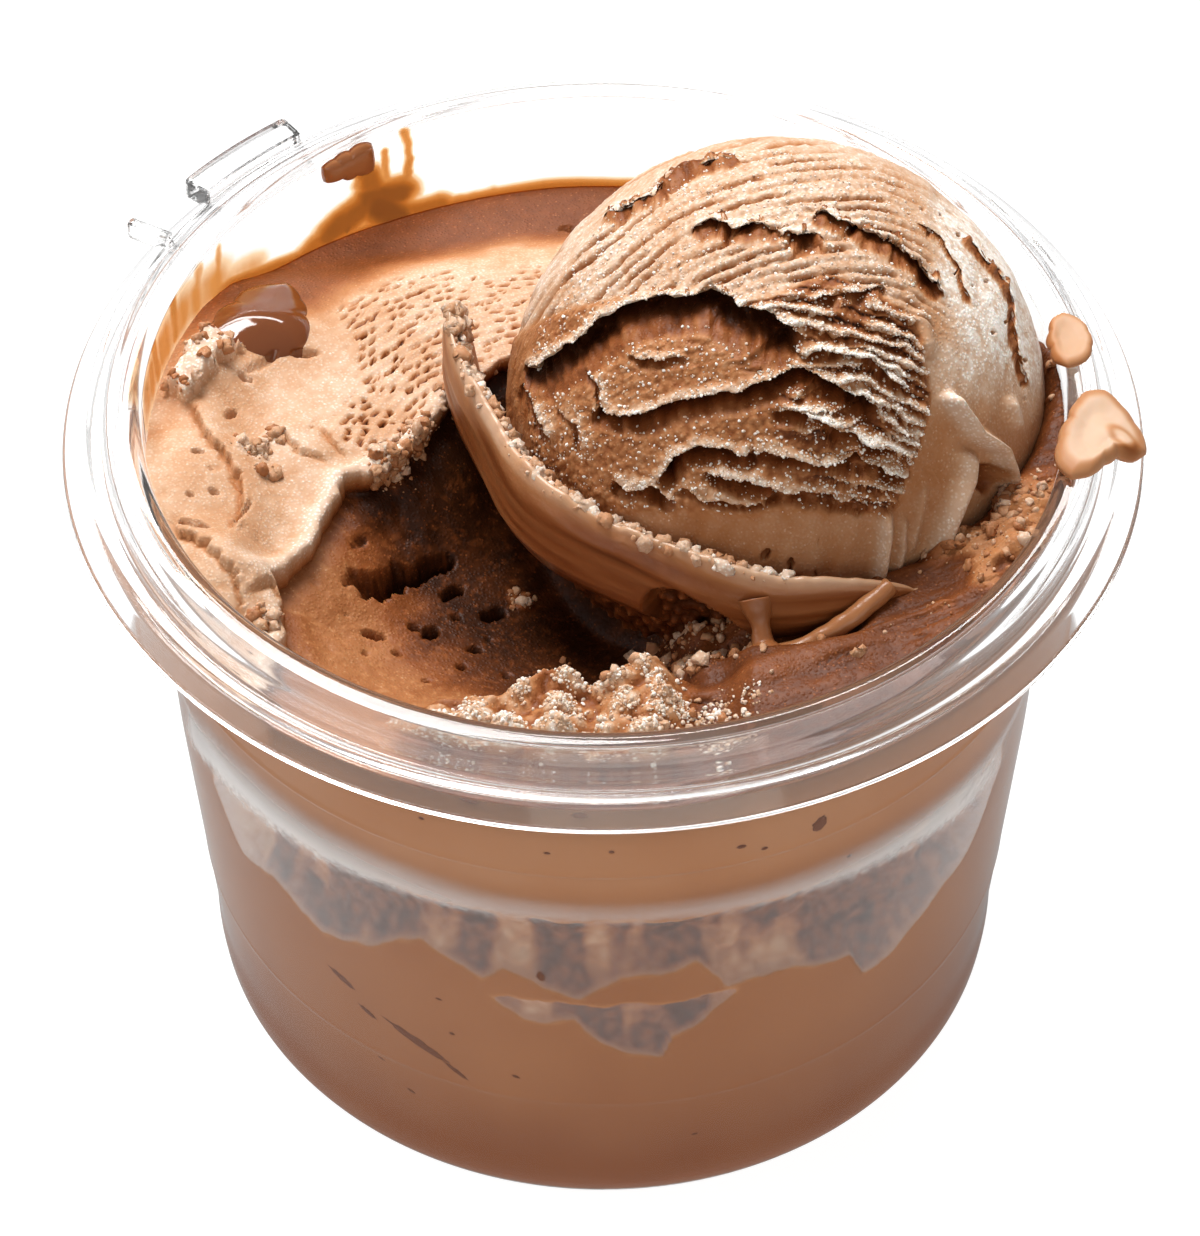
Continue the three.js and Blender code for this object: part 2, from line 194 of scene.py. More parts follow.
RIM_TO_FLOOR = [
    (50.05, 84.2, 0.5), (50.0, 76.0, 2.0), (49.5, 63.0, 0.5), (49.25, 62.0, 0.5),
    (49.0, 56.0, 1.0), (48.35, 53.0, 1.0), (47.95, 42.0, 3.0), (46.5, 20.0, 0.5),
    (46.25, 19.0, 0.5), (45.4, 9.0, 2.0), (45.3, 5.5, 1.0), (44.9, 3.2, 0.8), (43.2, 1.2, 0.8),
]
TAB = {"from": 128.0, "to": 143.0, "inner": 56.2, "outer": 60.0, "low": 80.6, "high": 83.6}
FINGER = {"at": 151.0, "inner": 55.7, "outer": 61.4, "width": 1.5, "low": 80.6, "high": 83.2}
TAB_ROUNDING = 0.6 * MM
TAB_STEPS = 12


def ease(start, stop, value):
    share = np.clip((value - start) / (stop - start), 0.0, 1.0)
    return share * share * (3.0 - 2.0 * share)


def mix(first, second, share):
    return first + (second - first) * share


def make_piece(name, points_mm, faces, smooth=True):
    mesh = bpy.data.meshes.new(name)
    mesh.from_pydata(np.asarray(points_mm, dtype=float) * MM, [], faces)
    mesh.polygons.foreach_set("use_smooth", np.full(len(mesh.polygons), smooth))
    mesh.update()
    return add_object(name, mesh)


def set_share(piece, name, values, rest=0.0):
    """Stores a value for each point; the points that come after the values get the rest."""
    attribute = piece.data.attributes.new(name, "FLOAT", "POINT")
    padded = np.full(len(piece.data.vertices), rest, dtype=np.float32)
    padded[: len(values)] = values
    attribute.data.foreach_set("value", padded)


def ring_faces(rings, sides, flipped=False):
    """Quads between neighbouring rings of points, each ring closed in itself."""
    here = np.arange((rings - 1) * sides)
    after = here - here % sides + (here + 1) % sides
    corners = [here, after, after + sides, here + sides]
    if flipped:
        corners[1], corners[3] = corners[3], corners[1]
    return [tuple(face) for face in np.stack(corners, axis=1)]


def around_axis(radius, angle, z):
    return np.stack([radius * np.cos(angle), radius * np.sin(angle), z], axis=1)


def finish_piece(piece, material, slot, *nodes):
    piece.data.materials.clear()
    piece.data.materials.append(material)
    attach(piece, "root")
    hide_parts(*nodes)


def rounded_section(corners):
    """The section's corners, each given as radius, height and how far its rounding reaches."""
    points = []
    count = len(corners)
    for index, (radius, height, reach) in enumerate(corners):
        here = np.array([radius, height])
        before = np.array(corners[index - 1][:2])
        after = np.array(corners[(index + 1) % count][:2])
        if reach == 0.0 or index in (0, count - 1):
            points.append(here)
            continue
        to_before = before - here
        to_after = after - here
        start = here + to_before * min(0.45, reach / np.linalg.norm(to_before))
        stop = here + to_after * min(0.45, reach / np.linalg.norm(to_after))
        for step in range(CORNER_STEPS + 1):
            t = step / CORNER_STEPS
            points.append((1 - t) ** 2 * start + 2 * t * (1 - t) * here + t * t * stop)
    return points


def turned(section, sides):
    """Points and faces of a section turned round the cup's axis; its ends lie on the axis."""
    section = np.array(section)
    rings = section[1:-1]
    angles = np.tile(np.arange(sides) * (2 * np.pi / sides), len(rings))
    radius, height = np.repeat(rings, sides, axis=0).T
    points = around_axis(radius, angles, height)
    faces = ring_faces(len(rings), sides)
    first = len(points)
    last_ring = first - sides
    for side in range(sides):
        after = (side + 1) % sides
        faces.append((first, after, side))
        faces.append((first + 1, last_ring + side, last_ring + after))
    ends = [[0.0, 0.0, section[0, 1]], [0.0, 0.0, section[-1, 1]]]
    return np.vstack([points, ends]), faces


def clear_plastic():
    """Clear plastic that lets shadow and diffuse rays pass, so that it casts no dark shadow."""
    material, tree, shader = new_material("clear_plastic")
    rays = wire(tree, "ShaderNodeLightPath").outputs
    passing = maths(tree, "MAXIMUM", rays["Is Shadow Ray"], rays["Is Diffuse Ray"])
    inputs = {
        "Base Color": (0.985, 0.988, 0.99, 1.0),
        "Roughness": 0.06,
        "IOR": 1.49,
        "Specular IOR Level": 0.42,
        "Transmission Weight": 0.985,
        "Alpha": map_range(tree, passing, 1.0, 0.08),
    }
    feed(tree, shader, inputs)
    return material


def rim_block(name, rings, flipped):
    """A bar through four-cornered rings, closed at both ends; it runs into the rim."""
    last = 4 * len(rings) - 4
    first_end, last_end = (3, 2, 1, 0), (last, last + 1, last + 2, last + 3)
    if flipped:
        first_end, last_end = first_end[::-1], last_end[::-1]
    faces = [first_end, *ring_faces(len(rings), 4, flipped), last_end]
    block = make_piece(name, np.reshape(rings, (-1, 3)), faces, smooth=False)
    bevel = block.modifiers.new("rounding", "BEVEL")
    bevel.width = TAB_ROUNDING
    bevel.segments = 3
    return block


def tab_on_rim():
    """The tab is a short arc of ring."""
    section = (("inner", "low"), ("outer", "low"), ("outer", "high"), ("inner", "high"))
    rings = []
    for share in np.linspace(0.0, 1.0, TAB_STEPS + 1):
        angle = math.radians(mix(TAB["from"], TAB["to"], share))
        along = np.array([math.cos(angle), math.sin(angle), 0.0])
        up = np.array([0.0, 0.0, 1.0])
        rings.append([along * TAB[way] + up * TAB[level] for way, level in section])
    return rim_block("rim_tab", rings, flipped=True)


def finger_on_rim():
    """The finger is a small straight bar."""
    angle = math.radians(FINGER["at"])
    along = np.array([math.cos(angle), math.sin(angle), 0.0])
    across = np.array([-math.sin(angle), math.cos(angle), 0.0]) * FINGER["width"] / 2
    section = (("inner", -1), ("outer", -1), ("outer", 1), ("inner", 1))
    rings = []
    for height in (FINGER["low"], FINGER["high"]):
        level = np.array([0.0, 0.0, height])
        rings.append([along * FINGER[way] + across * side + level for way, side in section])
    return rim_block("rim_finger", rings, flipped=False)


PLASTIC = clear_plastic()
cup_section = [(0.0, 0.0, 0.0), *FOOT_TO_RIM, *RIM, *RIM_TO_FLOOR, (0.0, FLOOR, 0.0)]
cup_points, cup_faces = turned(rounded_section(cup_section), CUP_SIDES)
cup_shell = make_piece("cup_shell", cup_points, cup_faces)
finish_piece(cup_shell, PLASTIC, "clear_plastic", "cup")
for tab in (tab_on_rim(), finger_on_rim()):
    finish_piece(tab, PLASTIC, "clear_plastic", "cup")

# ---------------------------------------------------------------- ice cream in the cup
# Churned chocolate ice cream, filled soft and frozen hard. A spoon has taken a trough out of
# its front left, with a torn ledge; the rest is the smoothed top, pitted by air, and smears
# against the left wall. Against the clear wall the air it trapped shows as rough pockets.
PLATEAU = 75.5
TROUGH = (0.7, -12.6, 60.0)
BULK = 78.2
SCOOP = {"x": 19.3, "y": 5.8, "z": 76.3, "radius": 30.3}
SCOOP_SEAT = 70.0
REACH_INTO_WALL = 0.12
FILL_GRID = 300
FINER_TOWARDS = (-0.24, -0.15)
INSIDE_HEIGHT = 56.0
WALL_AT_TOP = 49.6
FOOT_RADIUS = 43.0

LEDGE = [
    (-4, 20), (-12, 14), (-17, 8), (-21.5, -1), (-28, -5), (-30.5, -14), (-35, -21), (-33.5, -29),
    (-34, -40),
]
# Smeared lumps along the left wall: x, y, spread across, spread along, height.
LUMPS = [
    (-44, 10, 4, 5, 3.2), (-45, -7, 6, 9, 2), (-40, -20, 4, 6, 2.6), (-38, 18, 6, 4, 1.6),
    (-33, 0, 5, 7, 1),
]


def cell_value(cells, seed):
    """A fixed number from 0 to 1 for each whole-number cell."""
    mixed = cells[:, 0] * 73856093 ^ cells[:, 1] * 19349663 ^ cells[:, 2] * 83492791
    mixed = (mixed + seed * 2654435761) & 0xFFFFFFFF
    mixed = ((mixed ^ (mixed >> 15)) * 2246822519) & 0xFFFFFFFF
    mixed = ((mixed ^ (mixed >> 13)) * 3266489917) & 0xFFFFFFFF
    return ((mixed ^ (mixed >> 16)) & 0xFFFFFF) / float(0xFFFFFF)


def cloud(points, size, seed, octaves=3):
    """Soft random unevenness from about -1 to 1, with lumps of the given size in mm."""
    total = np.zeros(len(points))
    weight = 1.0
    for octave in range(octaves):
        scaled = points / size * 2.0**octave
        base = np.floor(scaled).astype(np.int64)
        part = scaled - base
        part = part * part * (3.0 - 2.0 * part)
        value = np.zeros(len(points))
        for corner in range(8):
            step = np.array([corner & 1, (corner >> 1) & 1, (corner >> 2) & 1])
            share = np.prod(np.where(step == 1, part, 1.0 - part), axis=1)
            value += share * cell_value(base + step, seed + octave * 17)
        total += weight * (2.0 * value - 1.0)
        weight *= 0.5
    return total / (2.0 - 2.0 * weight) * 1.3


def grains(points, size, seed):
    """Distance to the nearest of scattered grain centres, as a share of the grain size."""
    scaled = points / size
    base = np.floor(scaled).astype(np.int64)
    nearest = np.full(len(points), 9.0)
    for corner in range(27):
        step = np.array([corner % 3 - 1, corner // 3 % 3 - 1, corner // 9 - 1])
        cell = base + step
        centre = np.stack([cell_value(cell, seed + axis) for axis in range(3)], axis=1)
        nearest = np.minimum(nearest, np.sum((cell + centre - scaled) ** 2, axis=1))
    return np.sqrt(nearest)


def flat(x, y):
    return np.stack([x, y, np.zeros_like(x)], axis=1)


def inside_radius(z):
    corners = np.array([(radius, height) for radius, height, _ in RIM_TO_FLOOR[::-1]])
    return np.interp(z, corners[:, 1], corners[:, 0])


def line_distance(x, y, line):
    """Distance to a bent line, plus on its left side, and how far along it the nearest point is."""
    nearest = np.full(x.shape, 1e9)
    side = np.ones(x.shape)
    travelled = np.zeros(x.shape)
    walked = 0.0
    for (ax, ay), (bx, by) in zip(line, line[1:]):
        dx, dy = bx - ax, by - ay
        length = math.hypot(dx, dy)
        along = np.clip(((x - ax) * dx + (y - ay) * dy) / length**2, 0.0, 1.0)
        distance = np.hypot(x - ax - along * dx, y - ay - along * dy)
        closer = distance < nearest
        side = np.where(closer, np.sign(dx * (y - ay) - dy * (x - ax)), side)
        travelled = np.where(closer, walked + along * length, travelled)
        nearest = np.minimum(nearest, distance)
        walked += length
    return nearest * side, travelled


def mound(x, y, cx, cy, rx, ry, height):
    return height * np.exp(-(((x - cx) / rx) ** 2) - ((y - cy) / ry) ** 2)


# Dents: x, y, half length, half width, direction in degrees, depth. First those of the
# trough floor, then those of the plateau and the left smears.
TROUGH_DENTS = [
    (-24.4, -14.2, 3.8, 1.7, 44, 4.6), (-21.6, -11.4, 3.2, 1.4, 30, 4.2),
    (-18.6, -9.2, 3.0, 1.0, 38, 3.8), (-27.6, -15.2, 1.6, 0.8, 60, 2.4),
    (-26.6, -10.0, 1.8, 0.5, 50, 1.6), (-16.4, -12.1, 1.8, 0.7, 52, 2.2),
    (-11.9, -14.3, 1.7, 0.9, 35, 2.2), (-24.7, -21.4, 1.9, 0.55, 5, 1.8),
    (-18.8, -19.2, 1.1, 0.75, 60, 1.8), (-20.6, -18.9, 0.8, 0.4, 0, 1.2),
    (-16.0, -15.9, 0.6, 0.5, 0, 1.2), (-13.9, -20.8, 0.9, 0.5, 20, 1.2),
    (-22.3, -23.6, 0.6, 0.35, 0, 1.0), (-15.3, -24.1, 0.7, 0.5, 30, 1.2),
    (-25.6, -24.6, 0.5, 0.3, 0, 0.9), (-12.6, -18.6, 0.45, 0.4, 0, 1.0),
    (-27.9, -19.8, 0.45, 0.35, 0, 0.9), (-19.0, -27.5, 0.6, 0.4, 10, 1.0),
    (-10.5, -24.5, 0.5, 0.5, 0, 1.0), (-30.9, -17.3, 0.7, 0.4, 80, 0.9),
]
PLATEAU_DENTS = [
    (-39.8, 9.4, 0.9, 0.7, 0, 1.5), (-38.2, 12.2, 3.4, 0.6, 50, 0.7),
    (-33.4, 14.9, 1.9, 0.6, 12, 1.2), (-44.2, -3.4, 0.8, 0.45, 0, 1.3),
    (-42.1, -9.4, 0.6, 0.5, 0, 1.2), (-44.6, -10.4, 0.5, 0.4, 0, 1.0),
    (-43.9, -15.0, 2.4, 0.55, -25, 1.5), (-38.9, -12.7, 0.3, 3.0, -20, 1.4),
    (-42.6, -6.0, 0.35, 0.3, 0, 0.8), (-4.0, 42.5, 1.3, 0.4, -15, 1.2),
    (-0.5, 42.0, 0.9, 0.3, -15, 1.0), (-41.0, 3.6, 1.3, 0.5, 60, 1.4),
]
# Edges of smeared layers on the left: the run, and how high the layer stands.
SMEARS = [
    ([(-46.0, 4.6), (-43.2, -0.6), (-40.4, -4.8), (-38.6, -10.2), (-40.0, -15.6)], 1.1),
    ([(-46.5, -14.5), (-42.0, -18.6), (-38.8, -22.8), (-37.4, -27.0)], 0.9),
    ([(-37.9, -24.4), (-35.4, -21.8), (-33.6, -23.6), (-33.4, -28.6)], 1.0),
    ([(-36.5, 2.8), (-32.6, -1.2), (-29.8, -2.6)], 0.6),
    ([(-31.5, 4.0), (-30.0, 0.2), (-27.6, -2.0)], 0.5),
]
# Where crumbs lie thick: x, y, spread, and how much.
CRUMBLY = [
    (-23.2, -1.6, 2.6, 1.0), (-20.6, 2.6, 2.2, 0.8), (-38.6, -1.6, 2.2, 1.0),
    (-36.4, 0.8, 1.4, 0.8), (-37.0, -5.0, 1.2, 0.5), (-35.8, -26.6, 1.7, 1.0),
    (-36.8, -28.6, 1.5, 1.0), (-9.2, -11.4, 1.5, 0.9), (-17.4, 9.6, 1.6, 0.6),
]


def dent_depth(x, y, dents, rough):
    """Depth of torn dents; rough shifts their edges so that none is a clean oval."""
    depth = np.zeros_like(x)
    for cx, cy, long, wide, turn, deepest in dents:
        cosine, sine = math.cos(math.radians(turn)), math.sin(math.radians(turn))
        along = ((x - cx) * cosine + (y - cy) * sine) / long
        across = ((y - cy) * cosine - (x - cx) * sine) / wide
        inside = 1.0 - np.sqrt(along**2 + across**2) + rough
        depth = np.maximum(depth, deepest * ease(0.0, 0.45, inside))
    return depth


def plateau_pits(x, y, rough):
    """Rows of small slits left by the spoon's edge dragging over the frozen top."""
    pitch, gap = 1.3, 1.55
    row = (np.hypot(x + 2.0, y + 6.0) + 0.4 * rough) / pitch
    row_number = np.round(row)
    zero = 0 * row_number
    offset = cell_value(np.stack([row_number, zero, zero], 1).astype(np.int64), 5)
    turn = np.arctan2(y + 6.0, x + 2.0) * row_number * pitch / gap + offset
    hole_number = np.round(turn)
    cell = np.stack([row_number, hole_number, zero], axis=1).astype(np.int64)
    chance = cell_value(cell, 21)
    near_ledge = ease(16.0, 3.0, np.hypot(x + 31.0, y - 9.0))
    size = 0.30 + 0.40 * near_ledge * cell_value(cell, 24)
    across = (row - row_number - 0.5 * cell_value(cell, 22) + 0.25) * pitch / (0.42 * size + 0.08)
    slant = 0.5 * (cell_value(cell, 25) - 0.5)
    along = (turn - hole_number + slant) * gap / (0.45 + 0.75 * cell_value(cell, 23))
    area = ease(7.0, 12.0, np.hypot(x + 36.0, (y - 12.0) * 0.9))
    area *= ease(2.0, 5.0, y + 0.4 * x + 14.0)
    area *= ease(-0.5, 3.0, -line_distance(x, y, LEDGE)[0])
    area *= ease(36.0, 30.0, y - 0.1 * x) * ease(43.0, 36.0, np.hypot(x, y - 6.0) + 6.0)
    depth = (0.35 + 0.75 * chance * (0.5 + near_ledge)) * (chance > 0.3)
    return area * depth * ease(1.2, 0.3, np.hypot(across, along + 0.3 * rough)), area


def plateau_height(x, y):
    back = ease(20, 48, y)
    left = ease(-30, -48, x) * (1 - back)
    height = PLATEAU - 5 * back + 1.6 * left
    for lump in LUMPS:
        height = height + mound(x, y, *lump)
    return height


def trough_height(x, y):
    away = np.hypot(x - TROUGH[0], y - TROUGH[1])
    return TROUGH[2] + 0.36 * away - 0.002 * away**2 + 3.5 * ease(-26, -42, y)


def bulk_height(x, y, from_scoop):
    """The heaped front right, hollowed out where the ball's lip hangs over it."""
    wall = 1.8 * ease(40, 49, np.hypot(x, y)) * ease(30, 44, x)
    hollow = 3.6 * ease(38.5, 35.0, from_scoop) * ease(29.0, 25.0, x)
    return BULK + 0.09 * np.maximum(0, x - 15) + wall - hollow - 2.4 * ease(16.0, 12.0, x)


def crumb_places(x, y, rough):
    share = np.zeros_like(x)
    for cx, cy, spread, much in CRUMBLY:
        away = np.hypot(x - cx, y - cy) / spread - 0.25 * rough
        share = np.maximum(share, much * ease(1.1, 0.5, away))
    return share


def smear_relief(x, y, fine):
    """Layers of smeared ice cream: each ends in a lip over the one below."""
    height = np.zeros_like(x)
    shade = np.zeros_like(x)
    for line, tall in SMEARS:
        distance, travelled = line_distance(x + 0.5 * fine, y + 0.5 * fine, line)
        length = sum(math.dist(a, b) for a, b in zip(line, line[1:]))
        ends = ease(-0.5, 2.5, travelled) * ease(length + 0.5, length - 2.0, travelled)
        layer = ease(-0.15, 0.15, distance) * ease(5.0, 0.4, distance)
        height += ends * tall * layer
        # shade is a thin line under each layer's lip, pressed in a little and painted darker as
        # shade.
        shade = np.maximum(shade, ends * np.exp(-(((distance + 0.25) / 0.3) ** 2)))
    return height, shade


def fill_surface(x, y):
    """Top of the ice cream: height, frost from 0 wet to 1 icy with painted shade in it, crumbs,
    snow, undercut.
    """
    here = flat(x, y)
    rough = cloud(here, 5.0, 1, 4)
    fine = cloud(here, 1.4, 2, 3)
    tooth = cloud(here, 0.7, 3, 2)
    past, travelled = line_distance(x + 0.9 * rough + 0.3 * fine, y + 0.8 * fine, LEDGE)
    behind = ease(22.0, 38.0, y + 1.5 * rough) * ease(8.0, 16.0, x)
    torn = ease(-0.25, 0.45, past) * (1.0 - behind)
    from_scoop = np.hypot(x - SCOOP["x"], y - SCOOP["y"])
    from_wall = WALL_AT_TOP - np.hypot(x, y)
    crumbs = crumb_places(x, y, fine)

    pits, pitted = plateau_pits(x, y, fine)
    ripple = 0.09 * np.sin(np.hypot(x + 2.0, y + 6.0) * 2 * np.pi / 1.3) * pitted
    rolled = 0.7 * np.exp(-(((past + 1.1) / 1.2) ** 2)) * ease(12.0, 22.0, travelled)
    trench = 0.9 * np.exp(-(((y - 0.28 * x - 43.0) / 3.2) ** 2))
    top = plateau_height(x, y) - pits + ripple + rolled - trench
    top = top - dent_depth(x, y, PLATEAU_DENTS, 0.25 * fine)
    smear = cloud(here * np.array([1.0, 0.35, 1.0]), 7.0, 7, 2)
    left_wall = ease(-34.0, -40.0, x + 0.12 * y)
    layers, shade = smear_relief(x, y, fine)
    top = top + layers - 0.3 * shade + left_wall * (0.55 * smear + 0.08 * fine)
    chunk_along = ((x + 44.4) * 0.47 + (y - 9.9) * 0.88) / 5.0
    chunk_across = ((y - 9.9) * 0.47 - (x + 44.4) * 0.88) / 2.1
    chunk = 1.0 - np.maximum(np.abs(chunk_along), np.abs(chunk_across)) + 0.28 * fine
    chunk = ease(0.0, 0.16, chunk)
    top = top + chunk * (2.3 + 0.5 * rough - 0.5 * grains(here, 1.3, 6))
    top = top + 0.05 * rough + 0.02 * fine
    top = top + crumbs * (0.8 - 0.9 * grains(here, 1.7, 4) + 0.3 * tooth)

    craters = dent_depth(x, y, TROUGH_DENTS, 0.45 * fine + 0.25 * tooth)
    floor = trough_height(x, y) - craters
    streak = cloud(flat(x * 0.75 - y * 0.66, (x * 0.66 + y * 0.75) * 0.2), 2.2, 12, 3)
    floor = floor + 0.04 * tooth + crumbs * (0.9 - grains(here, 1.2, 5))
    under = np.exp(-(((past - 1.8) / 1.1) ** 2)) * ease(34.0, 22.0, travelled)
    floor = floor - 1.8 * under * (0.55 + 0.45 * rough)
    slope = np.clip((past - 0.4) / 11.0, 0.0, 1.0)
    floor = mix(plateau_height(x, y) - 2.3, floor, 1.0 - (1.0 - slope) ** 2)
    height = mix(top, floor, torn)

    back_edge = -37.6 + 3.6 * np.exp(-(((x - 5.5) / 5.0) ** 2))
    back_edge = back_edge + 2.4 * np.exp(-(((x + 6.0) / 4.0) ** 2))
    heap = ease(1.2, -0.8, y - back_edge + 1.3 * rough) * ease(-24, -17, x) * ease(19.0, 12.0, x)
    small = 1.0 - grains(here, 1.3, 32)
    ridge = 2.6 * np.exp(-(((x - 4.0) / 3.6) ** 2)) + 1.8 * np.exp(-(((x + 5.5) / 3.0) ** 2))
    clump = 1.1 - grains(here, 3.4, 31)
    off_wall = ease(2.2, 4.4, from_wall)
    heaped = 74.6 + off_wall * (0.4 + 3.2 * clump + 0.7 * small + 1.0 * rough + ridge)
    height = mix(height, heaped, heap)
    spill = ease(14.0, 7.0, np.hypot(x - 6.0, (y + 29.0) * 0.8))
    spill = spill * ease(0.1, 0.5, rough + 0.2) * torn

    bulk = ease(5.0, 11.0, x + 0.8 * rough) * ease(26, 6, y) * ease(25, 31, from_scoop)
    bulk = np.maximum(bulk, ease(-32.5, -37.0, y) * ease(12.0, 19.0, x))
    drawn = cloud(flat(x * 0.16 + y * 0.1, y * 0.95 - 0.3 * x), 2.6, 15, 3)
    tear = ease(0.10, 0.0, np.abs(drawn - 0.12)) * ease(-0.2, 0.3, rough)
    smeared = bulk_height(x, y, from_scoop) + 0.5 * drawn + 0.25 * rough - 0.5 * tear
    height = mix(height, smeared, bulk)
    right = ease(33.0, 37.0, x) * ease(-9.0, -14.0, y) * ease(-31.0, -27.0, y)
    ragged = right * ease(-0.1, 0.35, rough)
    height = height + ragged * (1.6 - 1.7 * grains(here, 3.0, 41) + 0.3 * fine)
    height = mix(height, SCOOP_SEAT, ease(29, 23, from_scoop))

    # Painted shade in the trough: the ball's painted shadow near it, painted shade under and along
    # the ledge, and darker in the craters.
    ball_shadow = ease(55.0, 40.0, from_scoop + 1.5 * rough)
    dark = 0.39 + 0.04 * rough + 0.04 * streak - 0.37 * ball_shadow - 0.22 * under
    dark = dark - 0.10 * ease(5.0, 0.5, past) + 0.3 * crumbs - 0.16 * ease(0.4, 2.0, craters)
    # Fine pale flecks on the trough floor are painted glints.
    dark = dark + 0.10 * ease(0.55, 0.8, cloud(here, 0.5, 33, 1)) * ease(0.0, 0.4, craters + 0.3)
    # Painted shade on the top: darker in the pits, towards the left wall and under each smear's
    # lip.
    pale = 0.66 + 0.07 * rough + 0.05 * fine - 0.56 * ease(0.05, 0.55, pits) - 0.04 * left_wall
    pale = pale + 0.16 * np.minimum(rolled, 1.0) - 0.2 * shade + 0.1 * crumbs + 0.22 * chunk
    frost = mix(pale, dark, torn)
    # A strip along the back wall is painted darker as shade.
    back_wall_shade = ease(13.0, 6.5, from_wall + 0.8 * rough)
    back_wall_shade = back_wall_shade * ease(10.0, 24.0, y) * ease(24.0, 10.0, x)
    frost = mix(frost, 0.20, back_wall_shade * (1 - bulk))
    crumbled = 0.42 * ease(0.15, 0.8, clump) + 0.25 * ease(0.35, 0.75, small)
    crumbled = 0.18 + off_wall * crumbled + 0.12 * rough
    frost = mix(frost, crumbled, heap)
    # The tears in the smeared bulk are painted darker as shade.
    frost = mix(frost, 0.15 + 0.08 * drawn - 0.1 * tear, bulk)
    frost = mix(frost, 0.45, np.clip(ragged, 0.0, 1.0))
    snow = heap * ease(0.35, 0.8, clump + 0.3 * fine) * off_wall
    crumbs = np.maximum(crumbs, 0.3 * spill)
    crumbs = np.maximum(crumbs, 0.5 * chunk * ease(-0.1, 0.3, fine))
    crumbs = np.maximum(crumbs, 0.3 * np.clip(ragged, 0.0, 1.0))
    crumbs = np.maximum(crumbs, 0.35 * tear * bulk)
    edge = np.exp(-(((past + 0.1) / 0.5) ** 2)) * ease(30.0, 20.0, travelled)
    edge = edge * (1 - bulk) * ease(31, 33, from_scoop) * ease(-0.4, 0.3, rough)
    crumbs = np.maximum(crumbs, 0.5 * edge)
    crumbs = crumbs * mix(ease(1.5, 3.6, from_wall), 1.0, ease(-30.0, -20.0, y))
    undercut = 1.5 * np.exp(-(((past - 0.9) / 0.6) ** 2)) * (1 - bulk) * (1 - heap)
    shares = [np.clip(share, 0.0, 1.0) for share in (frost, crumbs, snow)]
    return height, *shares, undercut


def disk_grid(cells):
    """An even grid laid over a disk of radius 1: points, faces, and the rim in order."""
    line = np.linspace(-1.0, 1.0, cells + 1)
    a, b = np.meshgrid(line, line, indexing="xy")
    a, b = a.ravel(), b.ravel()
    wide = np.abs(a) > np.abs(b)
    safe_a = np.where(a == 0, 1.0, a)
    safe_b = np.where(b == 0, 1.0, b)
    radius = np.where(wide, a, b)
    angle = np.where(wide, np.pi / 4 * b / safe_a, np.pi / 2 - np.pi / 4 * a / safe_b)
    points = np.stack([radius * np.cos(angle), radius * np.sin(angle)], axis=1)
    row = cells + 1
    start = (np.arange(cells)[:, None] * row + np.arange(cells)[None, :]).ravel()
    faces = np.stack([start, start + 1, start + row + 1, start + row], axis=1)
    low = np.arange(cells)
    rim = np.concatenate([low, low * row + cells, (row * row - 1) - low, (row - 1 - low) * row])
    return points, faces, rim


def close_below(points, faces, rim, rings):
    """Adds rings below the rim and a middle point under them, so that the skin is closed."""
    faces = [tuple(face) for face in faces]
    count = len(rim)
    rims = [rim] + [np.arange(count) + len(points) + count * index for index in range(len(rings))]
    for upper, lower in zip(rims, rims[1:]):
        quads = (np.roll(upper, -1), upper, lower, np.roll(lower, -1))
        faces += [tuple(face) for face in np.stack(quads, axis=1)]
    middle = np.full(count, len(points) + count * len(rings))
    faces += [tuple(face) for face in np.stack([np.roll(rims[-1], -1), rims[-1], middle], axis=1)]
    return np.vstack([points, *rings, rings[-1].mean(axis=0, keepdims=True)]), faces


def polar(unit):
    return np.arctan2(unit[:, 1], unit[:, 0]), np.hypot(unit[:, 0], unit[:, 1])


def edge_height(angle):
    probe = WALL_AT_TOP - 0.3
    return fill_surface(probe * np.cos(angle), probe * np.sin(angle))[0]


def fill_top():
    unit, faces, rim = disk_grid(FILL_GRID)
    spare = 1.0 - unit[:, 0] ** 2 - unit[:, 1] ** 2
    unit = unit + spare[:, None] * np.array(FINER_TOWARDS)
    angle, share = polar(unit)
    reach = inside_radius(edge_height(angle)) + REACH_INTO_WALL
    x = share * reach * np.cos(angle)
    y = share * reach * np.sin(angle)
    height, frost, crumbs, snow, undercut = fill_surface(x, y)
    undercut = undercut * ease(1.0, 0.93, share)
    points = np.stack([x - 0.78 * undercut, y + 0.62 * undercut, height], axis=1)
    rings = []
    for drop in (0.8, 3.0):
        ring = points[rim].copy()
        ring[:, 2] -= drop
        radius = inside_radius(ring[:, 2]) + REACH_INTO_WALL - 0.02
        ring[:, :2] *= (radius / np.hypot(ring[:, 0], ring[:, 1]))[:, None]
        rings.append(ring)
    deep = rings[-1].copy()
    deep[:, :2] *= 0.9
    deep[:, 2] = INSIDE_HEIGHT
    rings.append(deep)
    piece = make_piece("ice_cream_top", *close_below(points, faces, rim, rings))
    set_share(piece, "frost", frost, 0.35)
    set_share(piece, "crumbs", crumbs)
    set_share(piece, "snow", snow)
    return piece


